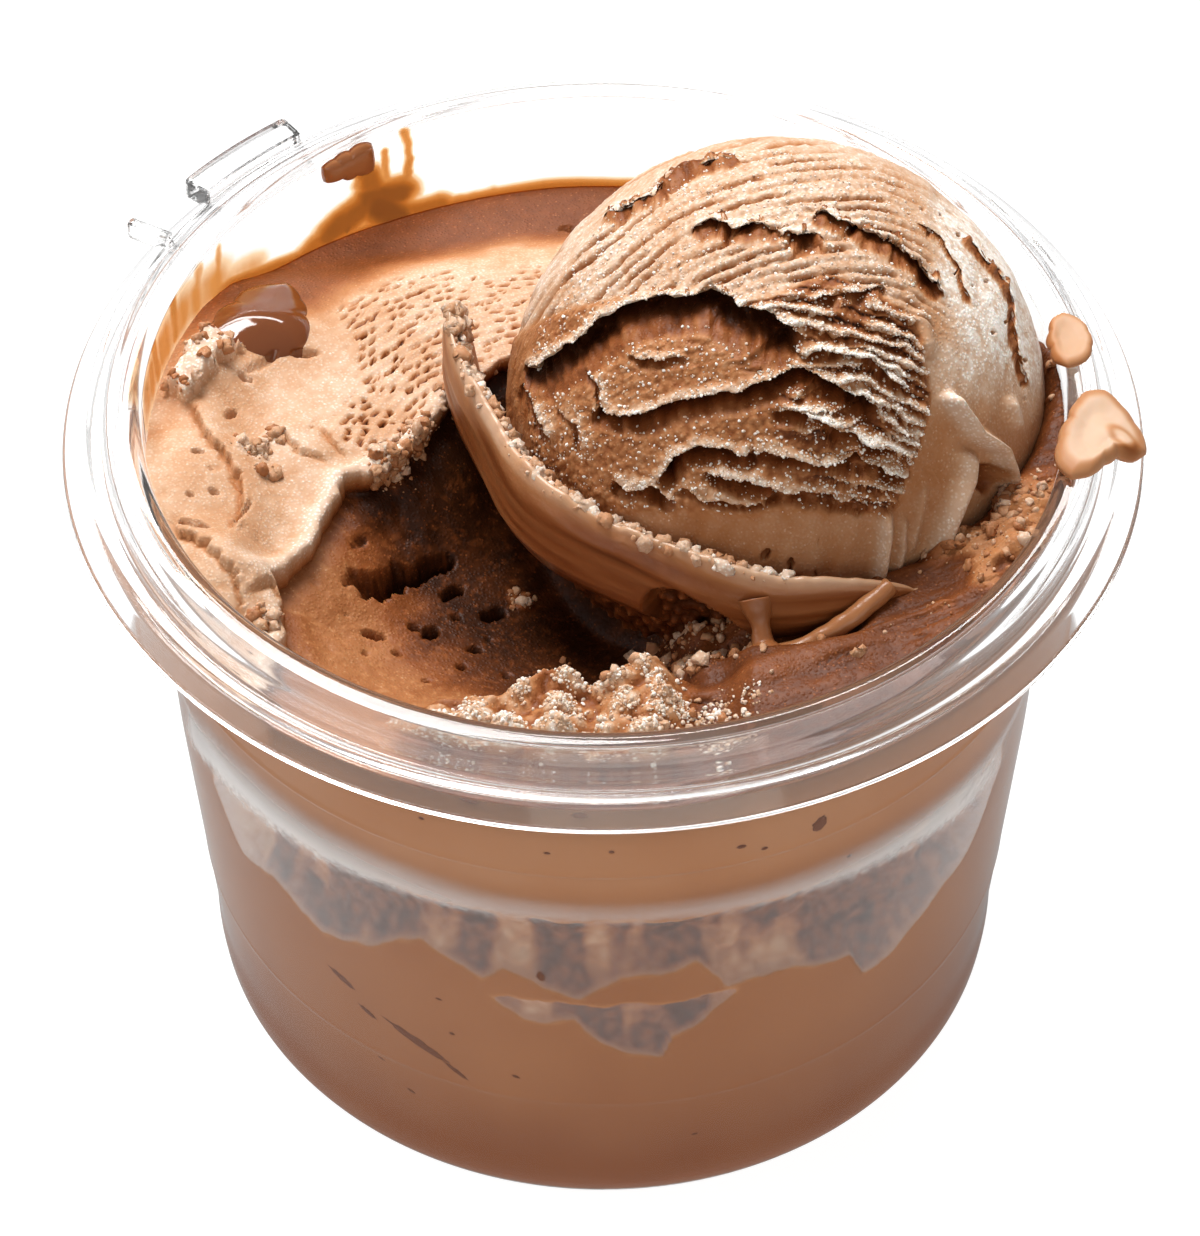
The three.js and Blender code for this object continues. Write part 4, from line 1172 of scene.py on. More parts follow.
def scoop_lip():
    section = smooth_loop(LIP_SECTION, SECTION_POINTS)
    share = np.linspace(0.0, 1.0, LIP_STEPS + 1)
    angle = np.radians(mix(LIP["from"], LIP["to"], share))
    ends = np.sqrt(np.clip(np.minimum(share / 0.06, (1 - share) / 0.3), 0.02, 1.0))
    narrow = ends * mix(0.55, 1.0, ease(0.0, 0.4, share))
    lift = 3.2 * ease(0.35, 0.0, share) + 2.4 * ease(0.75, 1.0, share)
    flare = 2.0 * ease(0.3, 0.0, share) - 1.2 * ease(0.2, 0.5, share) + 1.6 * ease(0.7, 0.95, share)
    reach = LIP["radius"] + flare + 0.5 * np.sin(19 * share)
    outer = section[None, :, 0]
    tall = section[None, :, 1]
    top = ease(4.0, 8.0, tall)
    along = flat(share * 100, 0 * share)
    wave = cloud(along, 9.0, 201, 2)[:, None] + 0.35 * cloud(along, 2.5, 204, 2)[:, None]
    radius = reach[:, None] + outer * narrow[:, None] - 1.2 * (1 - ends[:, None])
    height = SCOOP["z"] + lift[:, None] + (tall + 0.8 * wave * top) * ends[:, None]
    shape = radius.shape
    loop = np.broadcast_to(np.arange(SECTION_POINTS) / SECTION_POINTS, shape)
    way_along = np.broadcast_to(share[:, None], shape)
    drawn = np.stack([way_along * 8.0, loop * 46.0 + 5.0 * way_along, 0 * loop], axis=-1)
    streaks = cloud(drawn.reshape(-1, 3), 1.5, 202, 3).reshape(shape)
    sweep = cloud(drawn.reshape(-1, 3) * 0.3, 1.5, 203, 2).reshape(shape)
    radius = radius + (0.20 * streaks + 0.45 * sweep) * ends[:, None]

    in_lip = np.stack([way_along * 80, tall + 0 * loop, 0 * loop], -1).reshape(-1, 3)
    lumps = 1.0 - np.minimum(grains(in_lip, 2.0, 205), 1.0).reshape(shape)
    off_along = (share[:, None] - LIP_OPENING["at"]) / LIP_OPENING["long"]
    low = LIP_OPENING["low"] - 0.6 * off_along
    off_tall = (tall - low) / (LIP_OPENING["tall"] * (1.0 - 0.25 * off_along))
    inside = 1.0 - np.hypot(off_along, off_tall)
    outward = ease(-6.5, -3.5, outer)
    hole = ease(0.0, 0.16, inside) * outward
    radius = radius - hole * (LIP_OPENING["deep"] - 2.2 * lumps)
    height = height + hole * 1.2 * ease(0.5, -1.0, off_tall)

    x = SCOOP["x"] + radius * np.cos(angle)[:, None]
    y = SCOOP["y"] + radius * np.sin(angle)[:, None]
    points = np.stack([x, y, height], axis=2).reshape(-1, 3)
    faces = ring_faces(LIP_STEPS + 1, SECTION_POINTS, flipped=True)
    count = len(points)
    first = points[:SECTION_POINTS].mean(axis=0)
    last = points[-SECTION_POINTS:].mean(axis=0)
    points = np.vstack([points, first, last])
    tail = LIP_STEPS * SECTION_POINTS
    for side in range(SECTION_POINTS):
        after = (side + 1) % SECTION_POINTS
        faces.append((count, side, after))
        faces.append((count + 1, tail + after, tail + side))
    piece = make_piece("scoop_lip", points, faces)
    # The upper edge is painted pale as a highlight and the lower part darker as shade.
    pale = 0.28 + 0.12 * streaks + 0.40 * ease(5.6, 8.0, tall + 0.5 * wave)
    pale = pale + 0.08 * ease(0, 0.5, sweep) - 0.10 * ease(1.5, -2.5, tall)
    # The torn opening is painted dark as shade.
    pale = mix(pale, 0.03 + 0.32 * lumps**1.5, hole)
    # The inner side, between the lip and the ball, is painted darker as shade.
    inner = ease(-1.0, -1.8, outer) * ease(0.5, 2.0, tall) * ease(7.9, 7.0, tall)
    pale = mix(np.broadcast_to(pale, shape), 0.30, inner)
    crumbs = inner * ease(0.0, 0.06, share[:, None]) * ease(0.84, 0.76, share[:, None])
    set_share(piece, "frost", np.clip(pale, 0, 1).ravel(), 0.5)
    set_share(piece, "crumbs", crumbs.ravel())
    return piece


def strand(name, middle_line, widths, frost):
    """A drawn-out thread of ice cream: a round tube along a line, its width given at each point."""
    line = np.array(middle_line, dtype=float)
    steps = np.linspace(0, len(line) - 1, 14 * (len(line) - 1) + 1)
    corner = np.arange(len(line))
    run = np.stack([np.interp(steps, corner, line[:, k]) for k in range(3)], axis=1)
    wide = np.interp(steps, corner, widths)
    for _ in range(10):
        run[1:-1] = (run[:-2] + 2 * run[1:-1] + run[2:]) / 4
        wide[1:-1] = (wide[:-2] + 2 * wide[1:-1] + wide[2:]) / 4
    turn = 2 * np.pi * np.arange(STRAND_SIDES) / STRAND_SIDES
    ahead = np.gradient(run, axis=0)
    ahead /= np.linalg.norm(ahead, axis=1)[:, None]
    across = np.cross(ahead, FACE_OUT)
    across /= np.linalg.norm(across, axis=1)[:, None]
    lift = np.cross(across, ahead)
    ring = across[:, None, :] * np.cos(turn)[None, :, None]
    ring = ring + lift[:, None, :] * np.sin(turn)[None, :, None]
    points = (run[:, None, :] + ring * wide[:, None, None]).reshape(-1, 3)
    rough = 0.12 * cloud(points, 1.5, 211, 2)
    points += ring.reshape(-1, 3) * rough[:, None]
    faces = ring_faces(len(run), STRAND_SIDES)
    faces.append(tuple(range(STRAND_SIDES))[::-1])
    faces.append(tuple(range((len(run) - 1) * STRAND_SIDES, len(run) * STRAND_SIDES)))
    piece = make_piece(name, points, faces)
    set_share(piece, "frost", (), frost)
    finish_piece(piece, SMOOTH_CREAM, "ice_cream", "ice_cream_scoop")


SMOOTH_CREAM = ice_cream_material("smooth_ice_cream", 0.00002, 0.30, 0.15, crystals=False)
STRANDS = {
    "strand_post": (
        [(16.0, -27.2, 80.2), (16.5, -29.2, 78.2), (16.8, -30.6, 76.8), (17.4, -32.6, 76.0)],
        (2.0, 0.95, 1.2, 2.6),
        0.32,
    ),
    "strand_leg": (
        [
            (30.2, -26.0, 80.9),
            (27.2, -28.4, 79.6),
            (24.2, -29.9, 78.0),
            (21.0, -31.0, 76.6),
            (17.8, -31.6, 75.8),
        ],
        (1.0, 1.1, 1.1, 1.0, 1.3),
        0.42,
    ),
}
lip_skin = scoop_lip()
finish_piece(lip_skin, SMOOTH_CREAM, "ice_cream", "ice_cream_scoop")
for strand_name, strand_shape in STRANDS.items():
    strand(strand_name, *strand_shape)

# ---------------------------------------------------------------- crumbs and ice grains
# Frozen crumbs that broke off under the scoop: thick on the heap at the front, along the torn
# ledge and between the ball and its lip; far finer ice grains dust the ribs of the ball.
def crumb_tree():
    tree = bpy.data.node_groups.new("crumbs_on_surface", "GeometryNodeTree")
    kinds = {"Geometry": "Geometry", "Surface": "Object", "Where": "String"}
    kinds.update(dict.fromkeys(("Density", "Smallest", "Largest", "Few Large", "Palest"), "Float"))
    kinds.update({"Detail": "Int", "Seed": "Int", "Material": "Material"})
    for name, kind in kinds.items():
        tree.interface.new_socket(name=name, in_out="INPUT", socket_type="NodeSocket" + kind)
    tree.interface.new_socket(name="Geometry", in_out="OUTPUT", socket_type="NodeSocketGeometry")
    start = wire(tree, "NodeGroupInput").outputs

    def random_value(kind, low, high, shift):
        node = wire(tree, "FunctionNodeRandomValue", data_type=kind)
        for name, value in (("Min", low), ("Max", high)):
            shown = [socket for socket in node.inputs if socket.name == name and socket.enabled]
            shown[0].default_value = value
        feed(tree, node, {"Seed": maths(tree, "ADD", start["Seed"], float(shift))})
        return next(socket for socket in node.outputs if socket.enabled)

    def scaled(vector, factor):
        inputs = {0: vector, "Scale": factor}
        return wire(tree, "ShaderNodeVectorMath", inputs, operation="SCALE").outputs["Vector"]

    def named_value(name):
        kind = "GeometryNodeInputNamedAttribute"
        return wire(tree, kind, {"Name": name}, data_type="FLOAT").outputs["Attribute"]

    def stored(geometry, name, value):
        inputs = {"Geometry": geometry, "Name": name, "Value": value}
        settings = {"data_type": "FLOAT", "domain": "INSTANCE"}
        return wire(tree, "GeometryNodeStoreNamedAttribute", inputs, **settings).outputs["Geometry"]

    surface = wire(tree, "GeometryNodeObjectInfo", {"Object": start["Surface"]}).outputs["Geometry"]
    density = maths(tree, "MULTIPLY", named_value(start["Where"]), start["Density"])
    inputs = {"Mesh": surface, "Density": density, "Seed": start["Seed"]}
    spread = wire(tree, "GeometryNodeDistributePointsOnFaces", inputs).outputs["Points"]
    chance = maths(tree, "POWER", random_value("FLOAT", 0.0, 1.0, 1), start["Few Large"])
    span = maths(tree, "SUBTRACT", start["Largest"], start["Smallest"])
    size = maths(tree, "ADD", maths(tree, "MULTIPLY", chance, span), start["Smallest"])
    stretch = random_value("FLOAT_VECTOR", (0.75, 0.75, 0.75), (1.25, 1.25, 1.25), 2)
    turn = random_value("FLOAT_VECTOR", (0.0, 0.0, 0.0), (6.28, 6.28, 6.28), 3)
    inputs = {"Radius": 0.5, "Subdivisions": start["Detail"]}
    ball = wire(tree, "GeometryNodeMeshIcoSphere", inputs).outputs["Mesh"]
    inputs = {
        "Points": spread,
        "Instance": ball,
        "Rotation": wire(tree, "FunctionNodeEulerToRotation", {"Euler": turn}).outputs["Rotation"],
        "Scale": scaled(stretch, size),
    }
    crumbs = wire(tree, "GeometryNodeInstanceOnPoints", inputs).outputs["Instances"]
    tone = maths(tree, "ADD", random_value("FLOAT", -0.38, 0.0, 4), start["Palest"])
    crumbs = stored(stored(crumbs, "frost", tone), "reach", size)
    real = wire(tree, "GeometryNodeRealizeInstances", {"Geometry": crumbs}).outputs["Geometry"]
    lumpy = wire(tree, "ShaderNodeTexNoise", {"Scale": 1400.0, "Detail": 1.0}).outputs["Color"]
    inputs = {0: lumpy, 1: (0.5, 0.5, 0.5)}
    centred = wire(tree, "ShaderNodeVectorMath", inputs, operation="SUBTRACT").outputs["Vector"]
    shift = scaled(centred, maths(tree, "MULTIPLY", named_value("reach"), 1.1))
    inputs = {"Geometry": real, "Offset": shift}
    moved = wire(tree, "GeometryNodeSetPosition", inputs).outputs["Geometry"]
    inputs = {"Geometry": moved, "Material": start["Material"]}
    coat = wire(tree, "GeometryNodeSetMaterial", inputs).outputs["Geometry"]
    wire(tree, "NodeGroupOutput", {"Geometry": coat})
    return tree


def scatter_crumbs(name, surface, node, values):
    """Runs the tree once over a surface and keeps what it grows as a plain mesh."""
    holder = add_object(name + "_grow", bpy.data.meshes.new(name + "_grow"))
    modifier = holder.modifiers.new("grow", "NODES")
    modifier.node_group = CRUMB_TREE
    keys = {item.name: item.identifier for item in CRUMB_TREE.interface.items_tree}
    settings = {"Surface": surface, "Material": CRUMB_CREAM, **dict(zip(CRUMB_INPUTS, values))}
    for key, value in settings.items():
        modifier[keys[key]] = value
    holder.update_tag()
    bpy.context.view_layer.update()
    grown = holder.evaluated_get(bpy.context.evaluated_depsgraph_get())
    mesh = bpy.data.meshes.new_from_object(grown)
    mesh.name = name
    mesh.attributes.remove(mesh.attributes["reach"])
    mesh.polygons.foreach_set("use_smooth", np.full(len(mesh.polygons), settings["Detail"] > 1))
    piece = add_object(name, mesh)
    bpy.data.objects.remove(holder)
    finish_piece(piece, CRUMB_CREAM, "ice_cream", node)


CRUMB_CREAM = ice_cream_material("frozen_crumbs", 0.00012, 0.55, 0.12)
CRUMB_TREE = crumb_tree()
# Piece, surface and node; then where, how many for each square metre, smallest and largest
# size, how few are large, how pale the palest is, how round they are, and the seed.
CRUMB_INPUTS = ("Where", "Density", "Smallest", "Largest", "Few Large", "Palest", "Detail", "Seed")
FILL, BALL = "ice_cream_fill", "ice_cream_scoop"
CRUMBS = [
    ("crumbs_on_top", top_skin, FILL, ("crumbs", 5.0e6, 0.2 * MM, 1.7 * MM, 4.5, 0.74, 2, 3)),
    ("snow_on_heap", top_skin, FILL, ("snow", 9.0e6, 0.2 * MM, 0.6 * MM, 2.0, 0.97, 2, 5)),
    ("crumbs_in_lip", lip_skin, BALL, ("crumbs", 6.0e6, 0.25 * MM, 2.0 * MM, 3.4, 0.86, 2, 7)),
    ("ice_on_ribs", scoop_face, BALL, ("crumbs", 1.1e7, 0.14 * MM, 0.4 * MM, 2.0, 1.08, 1, 11)),
]
for crumb_row in CRUMBS:
    scatter_crumbs(*crumb_row)

# ---------------------------------------------------------------- melted drip and dab on the rim
# Ice cream that ran over the rim on the right and set again: glossy, rounded by its own skin.
RIM_DRIP = [
    (49.9, -6.3), (50.9, -3.6), (52.1, -1.9), (54.3, -1.7), (56.0, -3.6), (57.3, -6.0),
    (58.2, -8.4), (58.1, -10.4), (56.9, -11.4), (54.9, -11.3), (53.4, -12.8), (51.6, -14.8),
    (49.6, -15.2), (48.3, -13.4), (48.6, -9.6),
]
RIM_DAB = [
    (48.9, 7.9), (49.3, 9.8), (50.6, 10.8), (52.3, 9.8), (53.3, 7.6), (53.4, 5.2), (52.4, 2.9),
    (50.6, 2.1), (49.2, 3.2), (48.9, 5.2),
]


def outline_reach(angle, outline, middle):
    """How far a bent outline lies from its middle in each direction."""
    outline = np.array(outline, dtype=float) - np.array(middle, dtype=float)
    turns = np.arctan2(outline[:, 1], outline[:, 0])
    reach = np.hypot(outline[:, 0], outline[:, 1])
    order = np.argsort(turns)
    turns, reach = turns[order], reach[order]
    turns = np.concatenate([turns - 2 * np.pi, turns, turns + 2 * np.pi])
    reach = np.tile(reach, 3)
    fine = np.linspace(-np.pi, np.pi, 720)
    smooth = np.interp(fine, turns, reach)
    for _ in range(6):
        smooth = (np.roll(smooth, 1) + 2 * smooth + np.roll(smooth, -1)) / 4
    return np.interp(angle, fine, smooth)


def outline_grid(outline, middle, cells):
    """A grid over a bent outline: its places, how far out each lies, its faces and its rim."""
    unit, faces, rim = disk_grid(cells)
    angle, share = polar(unit)
    reach = outline_reach(angle, outline, middle) * share
    return middle[0] + reach * np.cos(angle), middle[1] + reach * np.sin(angle), share, faces, rim


def flat_drop(name, outline, cells, height_at, thick):
    """A flat drop with a thick rounded edge: its skin, its places and how far out each is."""
    middle = np.array(outline).mean(axis=0)
    x, y, share, faces, rim = outline_grid(outline, middle, cells)
    bed = height_at(np.hypot(x, y))
    round_edge = (1.0 - np.clip((share - 0.72) / 0.28, 0.0, 1.0) ** 2) ** 0.5
    hollow = 0.3 * ease(0.75, 0.35, share)
    relief = 0.15 * cloud(flat(x, y), 3.0, 221, 2) * round_edge
    points = np.stack([x, y, bed + thick * (round_edge - hollow) + relief], axis=1)
    under = points[rim].copy()
    under[:, :2] = middle + 0.93 * (under[:, :2] - middle)
    under[:, 2] = bed[rim] - 0.35
    return make_piece(name, *close_below(points, faces, rim, [under])), x, y, share


def over_rim(radius):
    return 85.75 - 1.1 * ease(53.5, 58.5, radius) - 0.8 * ease(50.2, 48.0, radius)


def rim_drip():
    """It hangs over the rim; a fold of it lies on its outer end."""
    piece, x, y, share = flat_drop("rim_drip_skin", RIM_DRIP, 90, over_rim, 1.15)
    off_x, off_y = x - 55.6, y + 9.6
    across, along = off_x * 0.75 + off_y * 0.5, off_y * 0.8 - off_x * 0.5
    fold = np.exp(-(across**2) / 1.6 - (along / 2.4) ** 2)
    for vertex, height in zip(piece.data.vertices, 0.7 * fold * MM):
        vertex.co.z += height
    piece.data.update()
    # The rounded edge of the drip is painted darker as shade.
    frost = 0.74 - 0.24 * ease(0.66, 0.86, share)
    frost = frost - 0.25 * ease(0.25, 0.7, fold) * ease(0.95, 0.6, fold)
    set_share(piece, "frost", frost, 0.45)
    return piece


def rim_dab():
    """A thin flat dab on the rolled lip."""
    piece, x, y, share = flat_drop("rim_dab_skin", RIM_DAB, 44, over_rim, 0.6)
    frost = 0.66 - 0.16 * ease(0.7, 0.95, share) - 0.14 * ease(50.6, 49.4, np.hypot(x, y))
    set_share(piece, "frost", frost, 0.5)
    return piece


MELTED = ice_cream_material("melted_ice_cream", 0.000004, 0.08, 0.3, crystals=False, gloss=0.6)
SET_DRIP = ice_cream_material("set_drip", 0.000004, 0.4, 0.3, crystals=False, gloss=0.12)
finish_piece(rim_drip(), SET_DRIP, "melted", "rim_drip")
finish_piece(rim_dab(), SET_DRIP, "melted", "rim_dab")

# ---------------------------------------------------------------- melted pool and wall films
# Where the tub was held, ice cream melted: a dark glossy pool at the back left, and thin
# films that ran down the inside of the clear wall, amber where the light comes through.
POOL = [
    (-44.6, 15.4), (-43.0, 14.6), (-40.3, 13.6), (-36.4, 13.6), (-33.8, 15.0), (-32.9, 17.8),
    (-33.4, 21.0), (-34.2, 25.0), (-36.0, 28.6), (-39.0, 27.4), (-42.0, 22.6), (-44.0, 18.6),
]
# Amber film on the back wall: strokes between two places, each as azimuth in degrees and
# height in mm, then the stroke's half width in mm and how thick it is.
AMBER_STROKES = [
    ((117.2, 83.4), (116.7, 79.0), 0.8, 0.45), ((116.7, 79.0), (117.2, 74.5), 0.9, 0.55),
    ((120.2, 81.5), (119.9, 77.0), 0.7, 0.45), ((117.4, 76.2), (119.6, 76.4), 1.2, 0.6),
    ((124.4, 81.0), (122.8, 78.0), 1.7, 0.8), ((122.8, 78.4), (121.6, 75.4), 2.8, 0.85),
    ((123.0, 75.4), (118.4, 74.6), 3.4, 0.95), ((121.4, 73.6), (119.0, 71.0), 4.2, 1.0),
    ((118.0, 71.4), (112.4, 70.6), 2.6, 0.8), ((112.4, 70.6), (104.0, 70.4), 1.7, 0.6),
    ((123.5, 74.6), (129.5, 73.0), 3.6, 0.9), ((129.5, 73.0), (136.0, 71.2), 2.8, 0.75),
    ((136.0, 71.2), (144.0, 71.6), 1.9, 0.5), ((143.0, 75.0), (151.0, 77.6), 3.4, 0.3),
    ((151.0, 78.2), (160.0, 80.2), 4.6, 0.33), ((160.0, 80.2), (177.0, 81.2), 5.2, 0.36),
    ((150.6, 79.0), (150.0, 82.6), 1.1, 0.3), ((155.4, 79.0), (155.0, 83.0), 1.3, 0.32),
    ((163.0, 79.0), (162.6, 84.0), 1.6, 0.5), ((170.0, 79.0), (171.0, 84.0), 2.0, 0.5),
    ((138.8, 73.6), (138.9, 73.2), 0.55, 0.7), ((120.6, 76.2), (120.7, 76.0), 0.4, 1.0),
    ((123.5, 74.0), (123.6, 73.8), 0.35, 1.0), ((126.5, 72.6), (126.9, 72.2), 0.5, 1.0),
]
BLOCK_MIDDLE = (126.0, 81.7)
BLOCK_OUTLINE = [
    (130.0, 83.4), (128.0, 83.7), (125.6, 83.8), (122.1, 83.5), (121.8, 81.8), (122.0, 79.6),
    (124.8, 80.0), (127.4, 80.8), (129.8, 81.0),
]
# Frozen haze on the outside of the shoulder: azimuth, middle height, how dense it is.
HAZE = [
    (196, 44.5, 0.0), (202, 45.5, 0.9), (211, 48.0, 1.0), (221, 49.2, 0.95), (231, 50.4, 0.75),
    (243, 52.0, 0.55), (257, 53.2, 0.32), (270, 53.8, 0.22), (283, 53.4, 0.25), (296, 52.0, 0.4),
    (309, 50.2, 0.62), (321, 47.6, 0.8), (332, 46.2, 0.9), (338, 45.2, 0.9), (344, 44.5, 0.0),
]
# Bubbles pressed flat between ice cream and wall: azimuth, height, half width, half height, lean.
BUBBLES = [
    (232.4, 30.3, 1.9, 0.55, -24), (236.2, 26.4, 1.3, 0.4, -28), (243.9, 24.8, 4.2, 0.7, -26),
    (249.4, 21.6, 1.8, 0.35, -38), (237.4, 18.1, 1.0, 0.35, -18), (241.9, 14.0, 0.6, 0.25, -20),
    (247.8, 34.8, 0.4, 0.2, 0), (249.3, 28.8, 0.35, 0.25, 0), (258.0, 23.2, 0.5, 0.25, -20),
    (282.8, 11.2, 0.4, 0.2, 10), (261.9, 43.0, 0.45, 0.8, 10), (267.2, 73.3, 0.8, 0.35, 0),
    (296.9, 64.1, 0.8, 1.2, -20), (286.7, 64.3, 0.5, 0.3, 0), (289.7, 63.0, 0.35, 0.25, 0),
    (247.7, 67.2, 0.3, 0.25, 0), (263.2, 65.4, 0.35, 0.2, 0), (270.9, 66.0, 0.3, 0.25, 0),
    (301.9, 56.0, 0.3, 0.25, 0), (254.3, 73.5, 0.9, 0.3, 0),
]
MM_PER_DEGREE = 0.86


def melted_pool():
    x, y, share, faces, rim = outline_grid(POOL, np.array(POOL).mean(axis=0), 90)
    bed = fill_surface(x, y)[0] - 0.3
    dome = np.clip(1.0 - share**2.6, 0.0, 1.0) ** 0.6
    height = mix(bed, plateau_height(x, y) + 1.1, dome)
    points = keep_inside_cup(np.stack([x, y, height], axis=1), -REACH_INTO_WALL)
    ring = points[rim] - np.array([0.0, 0.0, 1.0])
    piece = make_piece("melted_pool", *close_below(points, faces, rim, [ring]))
    set_share(piece, "frost", (), 0.17)
    return piece


def wall_patch(name, middle, outline, thick):
    """A thin lump on the inside of the wall, thickest in its middle."""
    azimuth, z, share, faces, rim = outline_grid(outline, middle, 60)
    azimuth = np.radians(azimuth)
    dome = np.sqrt(np.clip(1.0 - share**4, 0.0, 1.0))
    wall = inside_radius(z) + 0.04
    points = around_axis(wall - thick * dome, azimuth, z)
    back = around_axis(wall, azimuth, z)
    count = len(points)
    faces = [tuple(face) for face in np.vstack([faces, faces[:, ::-1] + count])]
    for here, after in zip(rim, np.roll(rim, -1)):
        faces.append((after, here, here + count, after + count))
    piece = make_piece(name, np.vstack([points, back]), faces)
    set_share(piece, "frost", (), 0.36)
    return piece


def stroke_share(azimuth, z, strokes):
    """Thickness of a film made of strokes: at each place that of the strongest near it."""
    across = azimuth * MM_PER_DEGREE
    share = np.zeros_like(z)
    for (start, low), (stop, high), wide, strength in strokes:
        dx, dz = (stop - start) * MM_PER_DEGREE, high - low
        off = across - start * MM_PER_DEGREE
        along = np.clip((off * dx + (z - low) * dz) / (dx * dx + dz * dz), 0.0, 1.0)
        distance = np.hypot(off - along * dx, z - low - along * dz)
        share = np.maximum(share, strength * ease(wide, 0.2 * wide, distance))
    return share


def outside_radius(z):
    corners = np.array([(radius, height) for radius, height, _ in FOOT_TO_RIM])
    return np.interp(z, corners[:, 1], corners[:, 0])


def wall_sheet(name, azimuths, heights, side, thick, share_at):
    """A thin closed sheet on the wall: side is -1 for its inside and 1 for its outside."""
    azimuth, z = np.meshgrid(np.linspace(*azimuths), np.linspace(*heights))
    rows, columns = azimuth.shape
    azimuth, z = azimuth.ravel(), z.ravel()
    wall = inside_radius(z) if side < 0 else outside_radius(z)
    share = share_at(azimuth, z)
    angle = np.radians(azimuth)
    both_sides = (wall + side * (0.03 + thick * share), wall - side * 0.06)
    layers = [around_axis(radius, angle, z) for radius in both_sides]
    count = rows * columns
    start = (np.arange(rows - 1)[:, None] * columns + np.arange(columns - 1)[None, :]).ravel()
    quads = np.stack([start, start + 1, start + columns + 1, start + columns], axis=1)
    front, back = (quads, quads[:, ::-1] + count) if side > 0 else (quads[:, ::-1], quads + count)
    faces = [tuple(face) for face in np.vstack([front, back])]
    last = (rows - 1) * columns
    border = list(range(columns)) + list(range(2 * columns - 1, count, columns))
    border += list(range(count - 2, last - 1, -1)) + list(range(last - columns, 0, -columns))
    for index, here in enumerate(border):
        after = border[(index + 1) % len(border)]
        edge = (after, here, here + count, after + count)
        faces.append(edge if side > 0 else edge[::-1])
    piece = make_piece(name, np.vstack(layers), faces)
    set_share(piece, "thickness", np.tile(share, 2))
    return piece


def amber_share(azimuth, z):
    here = flat(azimuth * MM_PER_DEGREE, z)
    waver = cloud(here, 2.2, 301, 3)
    runs = cloud(here * [1.0, 0.12, 1.0], 1.6, 303, 3)
    share = stroke_share(azimuth + 0.45 * waver, z + 0.3 * waver, AMBER_STROKES)
    share = share * (1.0 + 0.22 * runs * ease(138.0, 146.0, azimuth))
    edge = z - edge_height(np.radians(azimuth)) - 0.25 * cloud(here * [1.0, 0.0, 0.0], 6.0, 302, 2)
    along = ease(82.0, 86.0, azimuth) * ease(158.0, 146.0, azimuth)
    line = 0.72 * along * ease(1.7, 0.2, edge)
    return np.clip(np.maximum(share, line), 0.0, 1.0)


def haze_share(azimuth, z):
    line = np.array(HAZE)
    middle = np.interp(azimuth, line[:, 0], line[:, 1])
    dense = np.interp(azimuth, line[:, 0], line[:, 2])
    here = flat(azimuth * MM_PER_DEGREE, z)
    powder = cloud(here, 0.55, 305, 2)
    drift = cloud(here * [0.25, 1.0, 1.0], 2.6, 306, 3)
    off = z - middle - 2.2 * dense + 0.25 * drift
    band = ease(-1.4, 1.2, off + 0.5 * powder) * ease(2.0 + 8.5 * dense, 1.0, off)
    ends = ease(342.0, 322.0, azimuth + 2.5 * powder + 6.0 * drift)
    return np.clip(dense * band * ends * (0.82 + 0.3 * powder * ease(1.0, -1.5, off)), 0.0, 1.0)


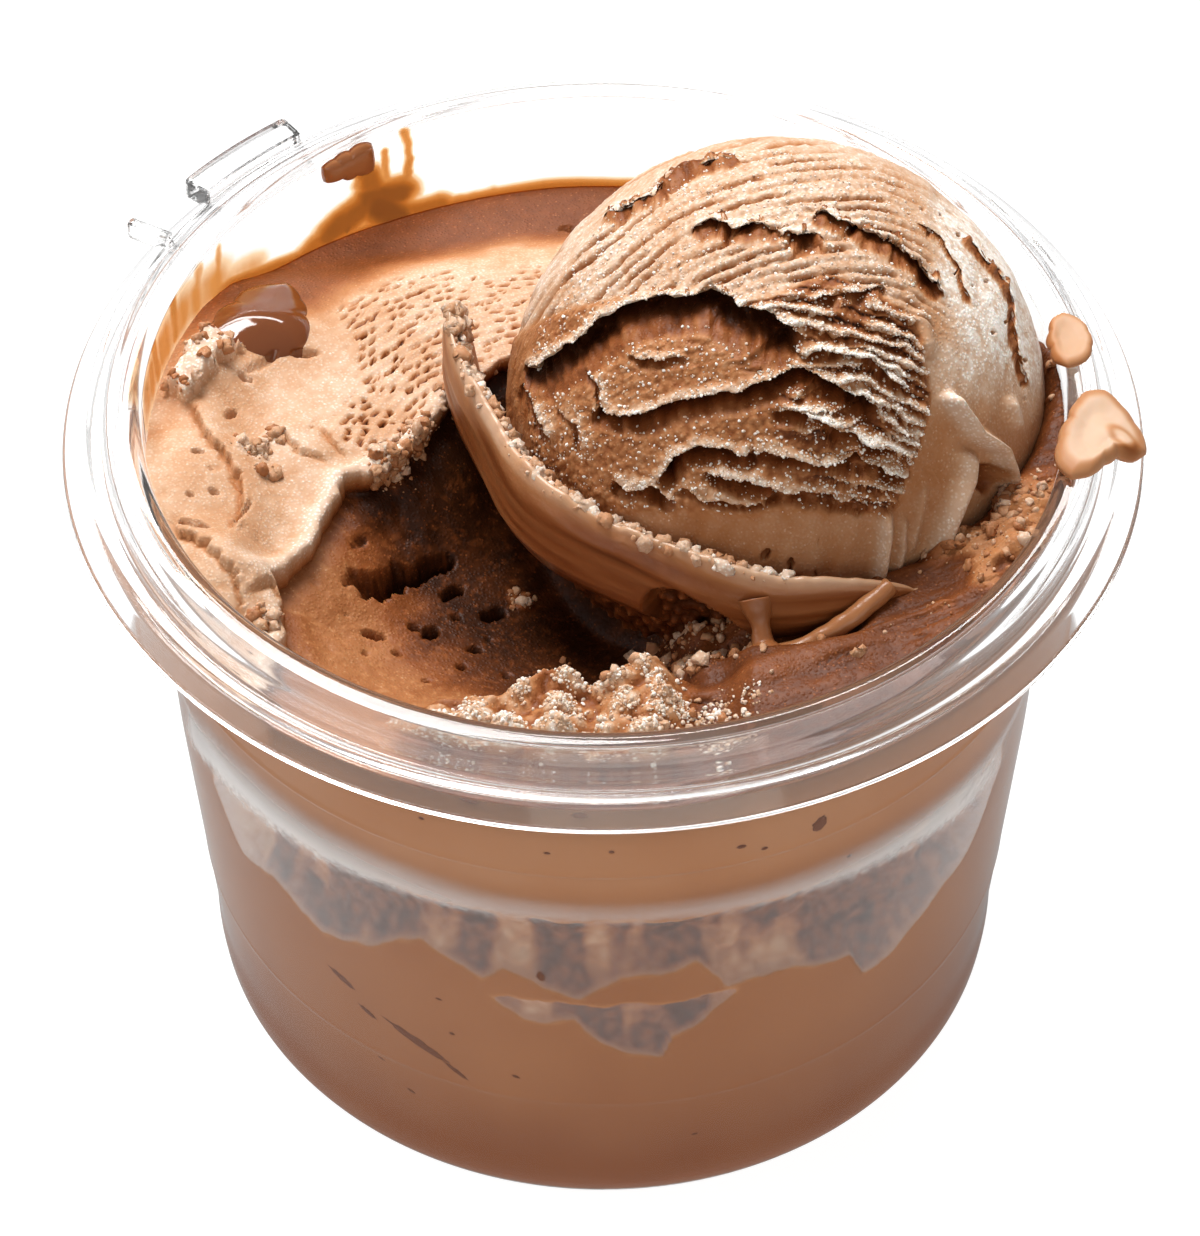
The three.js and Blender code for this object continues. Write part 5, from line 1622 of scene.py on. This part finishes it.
def wall_bubbles():
    """Flat lens-shaped gaps, one closed skin each, all in one piece."""
    unit, faces, rim = disk_grid(10)
    share = np.hypot(unit[:, 0], unit[:, 1])
    ragged = 1.0 + 0.25 * cloud(flat(unit[:, 0], unit[:, 1]) * 3, 1.0, 308, 2)
    points, skins = [], []
    for azimuth, height, wide, tall, lean in BUBBLES:
        cosine, sine = math.cos(math.radians(lean)), math.sin(math.radians(lean))
        across = (unit[:, 0] * wide * cosine - unit[:, 1] * tall * sine) * ragged
        z = height + (unit[:, 0] * wide * sine + unit[:, 1] * tall * cosine) * ragged
        angle = np.radians(azimuth + across / MM_PER_DEGREE)
        for depth in (0.16 + 0.12 * (1.0 - share**2), 0.08 + 0 * share):
            first = len(share) * len(points)
            points.append(around_axis(inside_radius(z) + depth, angle, z))
            order = faces if len(points) % 2 else faces[:, ::-1]
            skins += [tuple(face) for face in order + first]
        for here, after in zip(rim + first, np.roll(rim, -1) + first):
            skins.append((here, after, after - len(share), here - len(share)))
    piece = make_piece("wall_bubbles", np.vstack(points), skins)
    set_share(piece, "frost", (), 0.16)
    return piece


def haze_material():
    """Frozen haze: how much of it covers what lies behind follows its thickness."""
    material, tree, shader = new_material("frozen_haze")
    share = wire(tree, "ShaderNodeAttribute", attribute_name="thickness").outputs["Fac"]
    inputs = {
        "Base Color": colour_ramp(tree, HAZE_RAMP, share),
        "Roughness": 0.35,
        "Alpha": map_range(tree, share, 0.0, 0.72, 0.0, 0.9),
    }
    feed(tree, shader, inputs)
    return material


def amber_material():
    """Melted cream thin enough to be lit through: clear, then amber, then brown."""
    material, tree, shader = new_material("amber_film")
    share = wire(tree, "ShaderNodeAttribute", attribute_name="thickness").outputs["Fac"]
    shadow = wire(tree, "ShaderNodeLightPath").outputs["Is Shadow Ray"]
    inputs = {
        "Base Color": colour_ramp(tree, AMBER_RAMP, share),
        "Roughness": 0.12,
        "IOR": 1.05,
        "Transmission Weight": 1.0,
        "Alpha": map_range(tree, shadow, 1.0, 0.3),
    }
    feed(tree, shader, inputs)
    return material


AMBER_RAMP = [
    (0.0, (1.0, 1.0, 1.0)),
    (0.12, (0.90, 0.66, 0.42)),
    (0.35, (0.66, 0.27, 0.07)),
    (0.7, (0.44, 0.13, 0.018)),
    (1.0, (0.21, 0.06, 0.012)),
]
HAZE_RAMP = [(0.0, (0.90, 0.86, 0.83)), (1.0, (0.93, 0.92, 0.91))]
finish_piece(melted_pool(), MELTED, "melted", "ice_cream_fill")
amber_film = wall_sheet("amber_film", (80, 182, 330), (67.5, 84.0, 66), -1, 0.22, amber_share)
finish_piece(amber_film, amber_material(), "melted", "ice_cream_fill")
film_block = wall_patch("film_block", BLOCK_MIDDLE, BLOCK_OUTLINE, 1.1)
finish_piece(film_block, MELTED, "melted", "ice_cream_fill")
haze = wall_sheet("shoulder_haze", (195, 345, 520), (40.0, 62.0, 90), 1, 0.05, haze_share)
finish_piece(haze, haze_material(), "clear_plastic", "cup")
finish_piece(wall_bubbles(), AT_WALL, "ice_cream", "ice_cream_fill")
